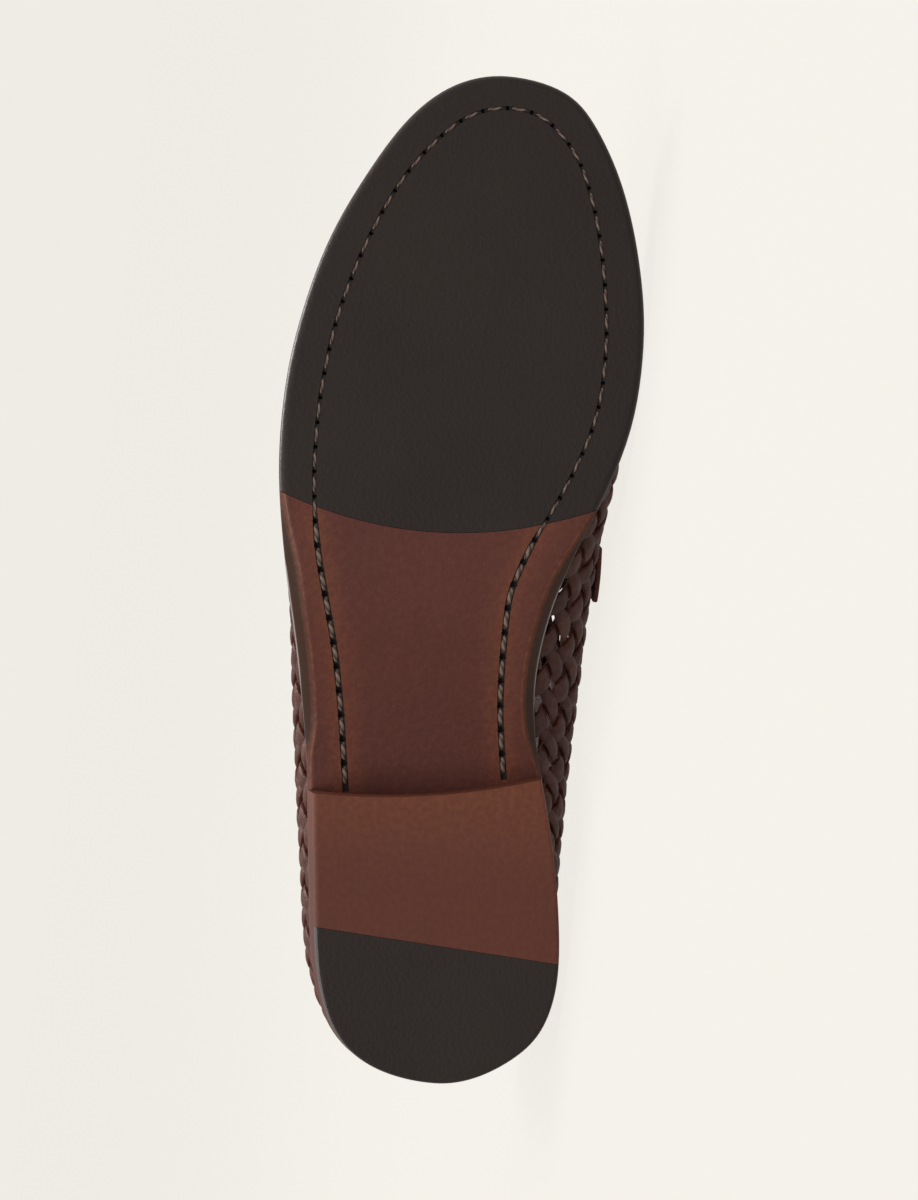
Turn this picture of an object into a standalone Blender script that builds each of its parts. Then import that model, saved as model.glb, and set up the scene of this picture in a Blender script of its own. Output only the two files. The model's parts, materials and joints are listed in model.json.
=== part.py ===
"""A woven leather loafer for the right foot, lying on its inner side.

The shoe is modelled as it would stand: X runs from the back of the heel to the toe, +Y points
to the inner side of the foot, +Z is up and the floor is at zero. An empty at the end turns the
finished shoe onto its side. All lengths are in metres.
"""

import math
from collections import namedtuple

import bmesh
import bpy
import numpy as np
from mathutils import Matrix, Vector
from mathutils.geometry import delaunay_2d_cdt

# Sizes of the sole and heel
SOLE_LENGTH = 0.268
BALL_WIDTH = 0.093
HEEL_WIDTH = 0.066
HEEL_WIDTH_TO = 0.30
BALL_WIDTH_FROM = 0.52
HEEL_HEIGHT = 0.020
TOE_SPRING = 0.009
SOLE_THICKNESS = 0.005
RUBBER_THICKNESS = 0.0025
EDGE_ROUNDING = 0.0012
WAIST_BEVEL_WIDTH = 0.0042
WAIST_BEVEL_HEIGHT = 0.0026
ROUNDING_MIDDLE = 0.3
BEVEL_MIDDLE = 0.5
RUBBER_JOINT = 0.1458
RUBBER_JOINT_RADIUS = 0.105
RUBBER_JOINT_CENTRE = -0.012

# Sizes of the stacked heel
HEEL_TAPER = 0.0012
TOP_PIECE_THICKNESS = 0.006
HEEL_LIFTS = 3
HEEL_BREAST = 0.0776
BREAST_SLANT = 0.175
BREAST_BOW = 0.0031
HEEL_RUBBER_JOINT = 0.0372
HEEL_RUBBER_SLANT = -0.0825

# Sizes of the upper
WALL = 0.0018
FEATHER_INSET = 0.0022
COLLAR_HEIGHT = 0.060
TOE_HEIGHT = 0.027
APRON_CROWN = 0.013
APRON_TAPER = 0.45
THROAT_SHARE = 0.54
THROAT_BOW = 0.009
WEAVE_STEP = 0.00515
WEAVE_RELIEF = 0.0012
WEAVE_COLUMNS = 56
GAP_SIZE = 0.0014
GAP_ROWS = (2, 4)
GAPS_FROM_COLUMN = 8
APRON_GAP_COLUMN = 2
COLLAR_BAND = 0.0055
COLLAR_BAND_RISE = 0.0006
SEAM_WIDTH = 0.0026
SEAM_RISE = 0.0013
PIPING_RADIUS = 0.0016
CORNER_ROOM = 1.5
CORNER_LEAN = 0.5
SADDLE_WIDTH = 0.0150
SADDLE_THICKNESS = 0.0015
SADDLE_LIFT = 0.0007
SADDLE_SETBACK = 0.0060
SADDLE_SLANT = 0.0090
SADDLE_DROP = 0.50

# Sizes of the footbed, and the room between pieces that touch
INSOLE_THICKNESS = 0.003
CLEARANCE = 0.0003
FACET_ROOM = 0.0002

# Densities in kilograms a cubic metre, for the balance of the lying shoe
LEATHER_DENSITY = 860.0
RUBBER_DENSITY = 1150.0

# How finely the smooth forms are cut
REAR_STATIONS = 26
FRONT_STATIONS = 18
HEEL_STATIONS = 12
FLAT_STATIONS = 3
SOLE_COLUMNS = 5
HEEL_COLUMNS = 3
SADDLE_WALL_ROWS = 5
SADDLE_APRON_ROWS = 8
SADDLE_LINES = 3
THROAT_POINTS = 9
ROW_MARGIN = 0.42
CURVE_SAMPLES = 320
PROFILE_SAMPLES = 40
SEARCH_STEPS = 24
PLAN_STEPS = 16
NORMAL_COLUMN_STEP = 0.25
NORMAL_STEP = 0.001
PIPING_SIDES = 6
ROUND_TIP = 0.0005

INNER, OUTER = 1, -1
INSIDE_ONLY = 1
SEW_TOLERANCE = 1e-5
WELD = 0.00001

Outline = namedtuple("Outline", "along inner outer")
SOLE_OUTLINE = [  # inner and outer are shares of the width there
    Outline(0.000, 0.000, 0.000),
    Outline(0.020, 0.256, 0.323),
    Outline(0.060, 0.430, 0.461),
    Outline(0.120, 0.483, 0.526),
    Outline(0.200, 0.452, 0.556),
    Outline(0.280, 0.388, 0.586),
    Outline(0.340, 0.309, 0.594),
    Outline(0.400, 0.242, 0.559),
    Outline(0.460, 0.233, 0.532),
    Outline(0.520, 0.269, 0.540),
    Outline(0.600, 0.372, 0.574),
    Outline(0.680, 0.434, 0.570),
    Outline(0.750, 0.440, 0.536),
    Outline(0.820, 0.411, 0.480),
    Outline(0.890, 0.356, 0.381),
    Outline(0.950, 0.271, 0.272),
    Outline(0.985, 0.186, 0.158),
    Outline(1.000, 0.000, 0.000),
]

Profile = namedtuple("Profile", "along heel spring bevel")
SOLE_PROFILE = [  # shares of the heel height, the toe spring and the waist bevel
    Profile(0.00, 1.000, 0.00, 0.0),
    Profile(0.15, 0.985, 0.00, 0.0),
    Profile(0.24, 0.955, 0.00, 0.0),
    Profile(0.30, 0.895, 0.00, 0.1),
    Profile(0.34, 0.780, 0.00, 0.8),
    Profile(0.40, 0.520, 0.00, 1.0),
    Profile(0.47, 0.200, 0.00, 1.0),
    Profile(0.53, 0.035, 0.00, 0.3),
    Profile(0.57, 0.000, 0.00, 0.0),
    Profile(0.74, 0.000, 0.00, 0.0),
    Profile(0.82, 0.000, 0.09, 0.0),
    Profile(0.90, 0.000, 0.36, 0.0),
    Profile(1.00, 0.000, 1.00, 0.0),
]

# Each loop round the upper pulls its wall outward at one height. Inner and outer are shares of
# the ball width. Rise of the rim goes from the toe height to the collar height, and rise of the
# two lower loops is a share of the rim's height above the sole.
Loop = namedtuple("Loop", "along inner outer rise")
RIM = [
    Loop(0.00, 0.000, 0.000, 1.000),
    Loop(0.02, 0.100, 0.115, 1.000),
    Loop(0.06, 0.172, 0.200, 0.955),
    Loop(0.12, 0.222, 0.262, 0.864),
    Loop(0.20, 0.258, 0.303, 0.758),
    Loop(0.30, 0.276, 0.334, 0.682),
    Loop(0.40, 0.270, 0.338, 0.682),
    Loop(0.48, 0.238, 0.312, 0.788),
    Loop(0.54, 0.203, 0.275, 0.848),
    Loop(0.62, 0.205, 0.275, 0.606),
    Loop(0.72, 0.222, 0.290, 0.333),
    Loop(0.82, 0.222, 0.268, 0.152),
    Loop(0.90, 0.188, 0.208, 0.061),
    Loop(0.96, 0.128, 0.132, 0.015),
    Loop(1.00, 0.000, 0.000, 0.000),
]
BELLY = [
    Loop(0.00, 0.000, 0.000, 0.22),
    Loop(0.02, 0.190, 0.235, 0.22),
    Loop(0.06, 0.290, 0.345, 0.22),
    Loop(0.12, 0.345, 0.412, 0.22),
    Loop(0.20, 0.362, 0.440, 0.22),
    Loop(0.30, 0.375, 0.475, 0.22),
    Loop(0.40, 0.392, 0.508, 0.24),
    Loop(0.50, 0.430, 0.540, 0.26),
    Loop(0.60, 0.455, 0.590, 0.28),
    Loop(0.68, 0.458, 0.576, 0.32),
    Loop(0.75, 0.455, 0.541, 0.36),
    Loop(0.82, 0.425, 0.481, 0.40),
    Loop(0.89, 0.360, 0.379, 0.44),
    Loop(0.95, 0.272, 0.270, 0.46),
    Loop(0.985, 0.172, 0.151, 0.47),
    Loop(1.00, 0.000, 0.000, 0.48),
]
SHOULDER = [
    Loop(0.00, 0.000, 0.000, 0.66),
    Loop(0.02, 0.165, 0.200, 0.66),
    Loop(0.06, 0.270, 0.315, 0.66),
    Loop(0.12, 0.325, 0.375, 0.66),
    Loop(0.20, 0.345, 0.415, 0.66),
    Loop(0.30, 0.375, 0.460, 0.66),
    Loop(0.40, 0.395, 0.485, 0.70),
    Loop(0.50, 0.375, 0.475, 0.80),
    Loop(0.60, 0.350, 0.470, 0.86),
    Loop(0.68, 0.360, 0.460, 0.90),
    Loop(0.75, 0.365, 0.445, 0.96),
    Loop(0.82, 0.350, 0.405, 1.02),
    Loop(0.89, 0.305, 0.330, 1.04),
    Loop(0.95, 0.230, 0.240, 1.02),
    Loop(0.985, 0.135, 0.135, 1.00),
    Loop(1.00, 0.000, 0.000, 0.99),
]

# Where each loop starts ahead of the sole's back end, and how far it stops short of the toe
RIM_START = 0.0050
RIM_STOP = 0.0250
BELLY_START = -0.0020
BELLY_STOP = 0.0018
SHOULDER_START = 0.0005
SHOULDER_STOP = 0.0062
RIM_ENDS = (RIM_START, -RIM_STOP)
BELLY_ENDS = (BELLY_START, -BELLY_STOP)
SHOULDER_ENDS = (SHOULDER_START, -SHOULDER_STOP)

# Colours of the pieces and their roughness
Finish = namedtuple("Finish", "red green blue roughness")
SOLE_LEATHER = Finish(0.112, 0.031, 0.025, 0.45)
HEEL_LEATHER = Finish(0.125, 0.044, 0.030, 0.50)
DARK_RUBBER = Finish(0.035, 0.027, 0.024, 0.60)
WOVEN_LEATHER = Finish(0.140, 0.078, 0.062, 0.55)
STRAP_LEATHER = Finish(0.120, 0.066, 0.052, 0.50)
LINING_LEATHER = Finish(0.330, 0.250, 0.170, 0.65)


def smoothstep(low, high, value):
    """Rise smoothly from 0 at low to 1 at high."""
    share = min(max((value - low) / (high - low), 0.0), 1.0)
    return share * share * (3.0 - 2.0 * share)


def monotone_curve(knots, values, at):
    """A smooth curve through the knots that does not overshoot them."""
    knots, values, at = (np.asarray(item, dtype=float) for item in (knots, values, at))
    steps = np.diff(knots)
    slopes = np.diff(values) / steps
    tangents = np.zeros_like(values)
    for i in range(1, len(knots) - 1):
        before, after = slopes[i - 1], slopes[i]
        if before * after > 0.0:
            early = 2.0 * steps[i] + steps[i - 1]
            late = steps[i] + 2.0 * steps[i - 1]
            tangents[i] = (early + late) / (early / before + late / after)
    tangents[0], tangents[-1] = slopes[0], slopes[-1]
    place = np.clip(np.searchsorted(knots, at) - 1, 0, len(knots) - 2)
    width = steps[place]
    t = np.clip((at - knots[place]) / width, 0.0, 1.0)
    start, end = values[place], values[place + 1]
    start_slope, end_slope = tangents[place] * width, tangents[place + 1] * width
    return (
        (2 * t**3 - 3 * t**2 + 1) * start
        + (t**3 - 2 * t**2 + t) * start_slope
        + (3 * t**2 - 2 * t**3) * end
        + (t**3 - t**2) * end_slope
    )


def turn(along):
    """Spread the two round ends of a loop so that a smooth curve can follow them."""
    return np.arccos(1.0 - 2.0 * np.clip(along, 0.0, 1.0))


def table_curve(rows, field, along):
    """Read one column of a table of sections at any share of the length."""
    knots = [float(turn(row.along)) for row in rows]
    return monotone_curve(knots, [getattr(row, field) for row in rows], turn(along))


def profile_share(field, x):
    """Read one column of the sole's profile at a length."""
    knots = [row.along for row in SOLE_PROFILE]
    share = min(max(x / SOLE_LENGTH, 0.0), 1.0)
    return float(monotone_curve(knots, [getattr(row, field) for row in SOLE_PROFILE], share))


def tread(x):
    """Height of the sole's underside above the floor."""
    return HEEL_HEIGHT * profile_share("heel", x) + TOE_SPRING * profile_share("spring", x)


def sole_top(x):
    """Height of the sole's upper face above the floor."""
    return tread(x) + SOLE_THICKNESS


def local_width(along):
    """Width that the outline's shares refer to: the heel's behind, the ball's in front."""
    blend = smoothstep(HEEL_WIDTH_TO, BALL_WIDTH_FROM, along)
    return HEEL_WIDTH + (BALL_WIDTH - HEEL_WIDTH) * blend


def outline_curve(side, inset):
    """Lengths and half widths of one side of the sole, drawn in by an inset."""
    angle = np.linspace(0.0, math.pi, CURVE_SAMPLES)
    along = (1.0 - np.cos(angle)) / 2.0
    widths = np.array([local_width(share) for share in along])
    half = table_curve(SOLE_OUTLINE, "inner" if side == INNER else "outer", along) * widths
    x = along * SOLE_LENGTH
    run, climb = np.gradient(x), np.gradient(half)
    length = np.hypot(run, climb)
    return x + inset * climb / length, np.maximum(half - inset * run / length, 0.0)


OUTLINES = {}


def edge(side, x, inset):
    """Half width of the sole at a length, drawn in by an inset."""
    key = (side, round(inset, 6))
    if key not in OUTLINES:
        OUTLINES[key] = outline_curve(side, inset)
    lengths, halves = OUTLINES[key]
    return float(np.interp(x, lengths, halves))


def heel_end(y, inset):
    """The back end of the sole."""
    return inset


def toe_end(y, inset):
    """The front end of the sole."""
    return SOLE_LENGTH - inset


def rubber_line(y, inset):
    """The curved joint across the forefoot."""
    return RUBBER_JOINT + (y - RUBBER_JOINT_CENTRE) ** 2 / (2.0 * RUBBER_JOINT_RADIUS)


def breast_line(y, inset):
    """The slanted and bowed front of the heel."""
    return HEEL_BREAST + BREAST_SLANT * y + BREAST_BOW * (y / (HEEL_WIDTH / 2.0)) ** 2


def heel_rubber_line(y, inset):
    """The straight slanted joint of the heel's lowest lift."""
    return HEEL_RUBBER_JOINT + HEEL_RUBBER_SLANT * y


def shifted(line, amount):
    """The same line moved along the shoe."""
    return lambda y, inset: line(y, inset) + amount


def plan_point(share, across, inset, back, front):
    """A point between two lines across the sole; across goes from -1 outside to 1 inside."""
    side = INNER if across > 0.0 else OUTER
    y = 0.0
    for _ in range(PLAN_STEPS):
        x = back(y, inset) + share * (front(y, inset) - back(y, inset))
        y = across * edge(side, x, inset)
    return x, y


def stations(count, round_back, round_front):
    """Shares along a piece, closer together at its round ends."""
    steps = [i / count for i in range(count + 1)]
    if round_back and round_front:
        shares = [(1.0 - math.cos(math.pi * step)) / 2.0 for step in steps]
    elif round_back:
        shares = [1.0 - math.cos(math.pi / 2.0 * step) for step in steps]
    elif round_front:
        shares = [math.sin(math.pi / 2.0 * step) for step in steps]
    else:
        shares = steps
    if round_back:
        shares[0] = ROUND_TIP
    if round_front:
        shares[-1] = 1.0 - ROUND_TIP
    return shares


def finish(part, look):
    """Give a piece its own material."""
    material = bpy.data.materials.new(part.name)
    material.use_nodes = True
    shader = material.node_tree.nodes["Principled BSDF"]
    shader.inputs["Base Color"].default_value = (look.red, look.green, look.blue, 1.0)
    shader.inputs["Roughness"].default_value = look.roughness
    part.data.materials.append(material)
    return part


def add_mesh(name, mesh, look):
    """Put a finished mesh into the scene as a named piece."""
    data = bpy.data.meshes.new(name)
    mesh.to_mesh(data)
    mesh.free()
    part = bpy.data.objects.new(name, data)
    bpy.context.scene.collection.objects.link(part)
    return finish(part, look)


def loft(name, rings, look):
    """Join closed rings of points into one capped body."""
    mesh = bmesh.new()
    rows = [[mesh.verts.new(point) for point in ring] for ring in rings]
    count = len(rows[0])
    for row, following in zip(rows, rows[1:]):
        for i in range(count):
            j = (i + 1) % count
            mesh.faces.new((row[i], following[i], following[j], row[j]))
    mesh.faces.new(rows[0])
    mesh.faces.new(list(reversed(rows[-1])))
    bmesh.ops.recalc_face_normals(mesh, faces=mesh.faces)
    return add_mesh(name, mesh, look)


def section(share, lines, faces, top_inset, side_steps, columns):
    """One ring of a flat piece: across its top, down one side, back under it and up the other.

    The piece lies between two lines across the sole and between two faces given as heights at
    a length. Each side step is an inset from the outline and a height above the lower face.
    """
    back, front = lines
    top, bottom = faces
    across = [-1.0 + 2.0 * i / (columns - 1) for i in range(columns)]
    ring = []
    for place in across:
        x, y = plan_point(share, place, top_inset, back, front)
        ring.append((x, y, top(x)))
    for inset, height in side_steps:
        x, y = plan_point(share, 1.0, inset, back, front)
        ring.append((x, y, bottom(x) + height))
    for place in reversed(across[1:-1]):
        x, y = plan_point(share, place, side_steps[-1][0], back, front)
        ring.append((x, y, bottom(x)))
    for inset, height in reversed(side_steps):
        x, y = plan_point(share, -1.0, inset, back, front)
        ring.append((x, y, bottom(x) + height))
    return ring


def raised(level, amount):
    """The same face moved up."""
    return lambda x: level(x) + amount


def sole_side(x):
    """Rounded lower edge of the leather sole, turning into the bevel of the waist."""
    bevel = profile_share("bevel", x)
    width = EDGE_ROUNDING + (WAIST_BEVEL_WIDTH - EDGE_ROUNDING) * bevel
    height = EDGE_ROUNDING + (WAIST_BEVEL_HEIGHT - EDGE_ROUNDING) * bevel
    middle = ROUNDING_MIDDLE + (BEVEL_MIDDLE - ROUNDING_MIDDLE) * bevel
    return [(0.0, height), (middle * width, middle * height), (width, 0.0)]


def build_outsole():
    """The leather sole, stepped up over the forefoot to take the rubber."""
    rear = (heel_end, shifted(rubber_line, -CLEARANCE / 2.0))
    front = (shifted(rubber_line, CLEARANCE / 2.0), toe_end)
    rings = []
    for share in stations(REAR_STATIONS, True, False):
        side = sole_side(share * RUBBER_JOINT)
        rings.append(section(share, rear, (sole_top, tread), 0.0, side, SOLE_COLUMNS))
    over_rubber = raised(tread, RUBBER_THICKNESS + CLEARANCE)
    side = [(0.0, EDGE_ROUNDING), (0.0, EDGE_ROUNDING / 2.0), (0.0, 0.0)]
    for share in stations(FRONT_STATIONS, False, True):
        rings.append(section(share, front, (sole_top, over_rubber), 0.0, side, SOLE_COLUMNS))
    return loft("outsole", rings, SOLE_LEATHER)


def build_forefoot_rubber():
    """The rubber half sole, flush with the leather behind its curved joint."""
    lines = (shifted(rubber_line, 2.0 * CLEARANCE), toe_end)
    faces = (raised(tread, RUBBER_THICKNESS), tread)
    middle = ROUNDING_MIDDLE * EDGE_ROUNDING
    side = [(0.0, EDGE_ROUNDING), (middle, middle), (EDGE_ROUNDING, 0.0)]
    rings = [
        section(share, lines, faces, 0.0, side, SOLE_COLUMNS)
        for share in stations(FRONT_STATIONS, False, True)
    ]
    return loft("forefoot_rubber", rings, DARK_RUBBER)


def heel_level(step):
    """Face under a number of lifts, going from the sole's underside to the top piece."""
    share = step / HEEL_LIFTS
    return lambda x: tread(x) + (TOP_PIECE_THICKNESS - tread(x)) * share


def heel_inset(height):
    """The heel narrows evenly from the sole down to the floor."""
    return HEEL_TAPER * (1.0 - height / HEEL_HEIGHT)


def build_heel():
    """The stacked leather lifts, and the lowest lift in leather and rubber."""
    parts = []
    for step in range(HEEL_LIFTS):
        top, bottom = heel_level(step), heel_level(step + 1)
        faces = (raised(top, -CLEARANCE), bottom)
        side = [(heel_inset(bottom(0.0)), 0.0)]
        rings = [
            section(share, (heel_end, breast_line), faces, heel_inset(top(0.0)), side, HEEL_COLUMNS)
            for share in stations(HEEL_STATIONS, True, False)
        ]
        parts.append(loft(f"heel_lift_{step + 1}", rings, HEEL_LEATHER))
    rounding = EDGE_ROUNDING / 2.0
    faces = (lambda x: TOP_PIECE_THICKNESS - CLEARANCE, lambda x: 0.0)
    side = [(heel_inset(rounding), rounding), (HEEL_TAPER + rounding, 0.0)]
    behind = (heel_end, shifted(heel_rubber_line, -CLEARANCE / 2.0))
    ahead = (shifted(heel_rubber_line, CLEARANCE / 2.0), breast_line)
    for name, lines, look, shares in (
        ("top_piece_rubber", behind, DARK_RUBBER, stations(HEEL_STATIONS, True, False)),
        ("top_piece_leather", ahead, HEEL_LEATHER, stations(FLAT_STATIONS, False, False)),
    ):
        rings = [
            section(share, lines, faces, heel_inset(TOP_PIECE_THICKNESS), side, HEEL_COLUMNS)
            for share in shares
        ]
        parts.append(loft(name, rings, look))
    return parts


def build_insole():
    """The footbed, inside the foot of the upper."""
    inset = FEATHER_INSET + WALL + 2.0 * CLEARANCE
    seat = CLEARANCE + FACET_ROOM
    faces = (raised(sole_top, seat + INSOLE_THICKNESS), raised(sole_top, seat))
    side = [(inset, INSOLE_THICKNESS / 2.0), (inset, 0.0)]
    rings = [
        section(share, (heel_end, rubber_line), faces, inset, side, HEEL_COLUMNS)
        for share in stations(REAR_STATIONS, True, False)
    ]
    rings += [
        section(share, (rubber_line, toe_end), faces, inset, side, HEEL_COLUMNS)
        for share in stations(FRONT_STATIONS, False, True)[1:]
    ]
    return loft("insole", rings, LINING_LEATHER)


class LoopCurve:
    """One side of a loop round the upper, read by its share of the length from back to toe."""

    def __init__(self, x, half):
        reach = np.concatenate(([0.0], np.cumsum(np.hypot(np.diff(x), np.diff(half)))))
        self.share = reach / reach[-1]
        self.x = x
        self.half = half

    def at(self, share):
        """Length and half width at a share of the way from the back to the toe."""
        return np.interp(share, self.share, self.x), np.interp(share, self.share, self.half)

    def share_at(self, x):
        """Share of the way at which the loop reaches a length."""
        return float(np.interp(x, self.x, self.share))


def table_loop(rows, ends, side):
    """A loop from its table of sections."""
    along = (1.0 - np.cos(np.linspace(0.0, math.pi, CURVE_SAMPLES))) / 2.0
    start, end = ends[0], SOLE_LENGTH + ends[1]
    half = table_curve(rows, "inner" if side == INNER else "outer", along) * BALL_WIDTH
    return LoopCurve(start + along * (end - start), half)


def rise_of(rows, ends, x):
    """The rise column of a loop's table at a length."""
    start, end = ends[0], SOLE_LENGTH + ends[1]
    return float(table_curve(rows, "rise", (x - start) / (end - start)))


class Upper:
    """The upper's shape: a wall round the sole and an apron over the foot in front of it.

    A place on the wall is a column and a height. Columns count weave steps from the back of the
    heel round the outer side to the toe and back along the inner side. Heights are measured up
    the wall from the sole.
    """

    def __init__(self):
        self.loops = {}
        self.profiles = {}
        for side in (INNER, OUTER):
            self.loops[side] = [
                LoopCurve(*outline_curve(side, FEATHER_INSET)),
                table_loop(BELLY, BELLY_ENDS, side),
                table_loop(SHOULDER, SHOULDER_ENDS, side),
                table_loop(RIM, RIM_ENDS, side),
            ]
        self.throat_x = RIM_ENDS[0] + THROAT_SHARE * (SOLE_LENGTH + RIM_ENDS[1] - RIM_ENDS[0])
        self.throat_width = self.rim_half(INNER, self.throat_x) + self.rim_half(OUTER, self.throat_x)
        self.outer_corner = round(self.column_at(OUTER, self.throat_x))
        self.inner_corner = round(self.column_at(INNER, self.throat_x))

    def side_and_share(self, column):
        """Which side a column is on, and its share of the way to the toe."""
        column = column % (2 * WEAVE_COLUMNS)
        if column <= WEAVE_COLUMNS:
            return OUTER, column / WEAVE_COLUMNS
        return INNER, (2 * WEAVE_COLUMNS - column) / WEAVE_COLUMNS

    def column_at(self, side, x):
        """Column whose rim is at a length."""
        share = self.loops[side][3].share_at(x)
        return share * WEAVE_COLUMNS if side == OUTER else (2.0 - share) * WEAVE_COLUMNS

    def rim_half(self, side, x):
        """Half width of the rim at a length."""
        rim = self.loops[side][3]
        return float(np.interp(x, rim.x, rim.half))

    def rim_height(self, x):
        """Height of the rim above the floor at a length."""
        share = rise_of(RIM, RIM_ENDS, x)
        return sole_top(x) + TOE_HEIGHT + (COLLAR_HEIGHT - TOE_HEIGHT) * share

    def profile(self, column):
        """Points up the wall at a column, with their heights along it."""
        key = round(column % (2 * WEAVE_COLUMNS), 4)
        if key not in self.profiles:
            side, share = self.side_and_share(column)
            feather, belly, shoulder, rim = (loop.at(share) for loop in self.loops[side])
            foot = sole_top(feather[0]) + CLEARANCE + FACET_ROOM
            head = self.rim_height(rim[0])
            heights = (
                foot,
                foot + rise_of(BELLY, BELLY_ENDS, belly[0]) * (head - foot),
                foot + rise_of(SHOULDER, SHOULDER_ENDS, shoulder[0]) * (head - foot),
                head,
            )
            pulls = [
                Vector((float(place[0]), side * float(place[1]), height))
                for place, height in zip((feather, belly, shoulder, rim), heights)
            ]
            points = []
            for i in range(PROFILE_SAMPLES + 1):
                t = i / PROFILE_SAMPLES
                weights = ((1 - t) ** 3, 3 * (1 - t) ** 2 * t, 3 * (1 - t) * t * t, t**3)
                points.append(sum((pull * weight for pull, weight in zip(pulls, weights)), Vector()))
            reach = [0.0]
            for point, following in zip(points, points[1:]):
                reach.append(reach[-1] + (following - point).length)
            self.profiles[key] = (reach, points)
        return self.profiles[key]

    def wall_length(self, column):
        """Length up the wall from the sole to the rim."""
        return self.profile(column)[0][-1]

    def wall(self, column, height):
        """Point on the wall's smooth outer face."""
        reach, points = self.profile(column)
        height = min(max(height, 0.0), reach[-1])
        place = min(int(np.searchsorted(reach, height, side="right")) - 1, PROFILE_SAMPLES - 1)
        share = (height - reach[place]) / (reach[place + 1] - reach[place])
        return points[place].lerp(points[place + 1], share)

    def wall_normal(self, column, height):
        """Direction out of the wall."""
        top = self.wall_length(column)
        level = height / top
        low, high = max(height - NORMAL_STEP, 0.0), min(height + NORMAL_STEP, top)
        before, after = column - NORMAL_COLUMN_STEP, column + NORMAL_COLUMN_STEP
        behind = self.wall(before, level * self.wall_length(before))
        ahead = self.wall(after, level * self.wall_length(after))
        up = self.wall(column, high) - self.wall(column, low)
        return (ahead - behind).cross(up).normalized()

    def apron(self, x, y):
        """Point on the apron's smooth outer face."""
        inner, outer = self.rim_half(INNER, x), -self.rim_half(OUTER, x)
        width = max(inner - outer, NORMAL_STEP)
        share = min(max((y - outer) / width, 0.0), 1.0)
        fullness = (width / self.throat_width) ** 2
        taper = 1.0 - APRON_TAPER * smoothstep(self.throat_x, SOLE_LENGTH, x)
        crown = APRON_CROWN * min(fullness, 1.0) * taper
        return Vector((x, y, self.rim_height(x) + crown * 4.0 * share * (1.0 - share)))

    def apron_normal(self, x, y):
        """Direction out of the apron."""
        along = self.apron(x + NORMAL_STEP, y) - self.apron(x - NORMAL_STEP, y)
        across = self.apron(x, y + NORMAL_STEP) - self.apron(x, y - NORMAL_STEP)
        return along.cross(across).normalized()

    def rim_point(self, column):
        """Point on the rim: the raised band of the collar, or the ridge of the apron's seam."""
        length = self.wall_length(column)
        lift = COLLAR_BAND_RISE + (SEAM_RISE - COLLAR_BAND_RISE) * self.seam_share(column)
        return self.wall(column, length) + self.wall_normal(column, length) * lift

    def seam_share(self, column):
        """1 where the rim is the apron's seam and 0 where it is the collar."""
        past_outer = smoothstep(self.outer_corner - 1, self.outer_corner + 1, column)
        past_inner = smoothstep(self.inner_corner - 1, self.inner_corner + 1, column)
        return past_outer - past_inner

    def throat(self, share):
        """Place in plan on the bowed rear edge of the apron, from outer to inner corner."""
        outer = self.wall(self.outer_corner, self.wall_length(self.outer_corner))
        inner = self.wall(self.inner_corner, self.wall_length(self.inner_corner))
        place = outer.lerp(inner, share)
        return place.x - THROAT_BOW * math.sin(math.pi * share) ** 2, place.y

    def column_through(self, side, x, level):
        """Column that passes a length at a share of the wall's height."""
        low, high = 0.0, float(WEAVE_COLUMNS)
        for _ in range(SEARCH_STEPS):
            middle = (low + high) / 2.0
            column = middle if side == OUTER else 2 * WEAVE_COLUMNS - middle
            if self.wall(column, level * self.wall_length(column)).x < x:
                low = middle
            else:
                high = middle
        return column


class Pattern:
    """A flat pattern of points and creases, cut into triangles and laid onto the upper."""

    def __init__(self):
        self.flat = []
        self.solid = []
        self.creases = []
        self.cuts = []

    def add(self, flat, solid):
        """Add a point of the flat pattern and the place it takes on the upper."""
        self.flat.append(Vector(flat))
        self.solid.append(solid)
        return len(self.flat) - 1

    def crease(self, chain):
        """Keep the edges along a chain of points."""
        self.creases.extend(zip(chain, chain[1:]))

    def sew(self, mesh, border):
        """Triangulate inside the border and add the faces to a mesh."""
        result = delaunay_2d_cdt(self.flat, self.creases, [border], INSIDE_ONLY, SEW_TOLERANCE)
        corners = [mesh.verts.new(self.solid[source[0]]) for source in result[3]]
        for face in result[2]:
            middle = sum((Vector(result[0][i]) for i in face), Vector((0.0, 0.0))) / len(face)
            if not any(abs(middle.x - x) + abs(middle.y - y) < size for x, y, size in self.cuts):
                mesh.faces.new([corners[i] for i in face])

    def cut_gap(self, x, y, size, place):
        """Leave a diamond open round a point between the strips."""
        corners = [(x - size, y), (x, y - size), (x + size, y), (x, y + size)]
        ring = [self.add(corner, place(*corner)) for corner in corners]
        self.crease(ring + ring[:1])
        self.cuts.append((x, y, size))

    def crease_crossings(self, grid):
        """Keep the diagonals between raised crossings, so that the strips stand out."""
        for x, y in grid:
            for ends in (((x, y), (x + 1, y + 1)), ((x, y), (x - 1, y + 1))):
                if (x + y) % 2 == 0 and ends[1] in grid:
                    self.crease([grid[end] for end in ends])


def weave_lift(x, y):
    """Height of the weave's face at a crossing or at the place between strips."""
    return WEAVE_RELIEF / 2.0 if (x + y) % 2 == 0 else -WEAVE_RELIEF / 2.0


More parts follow.
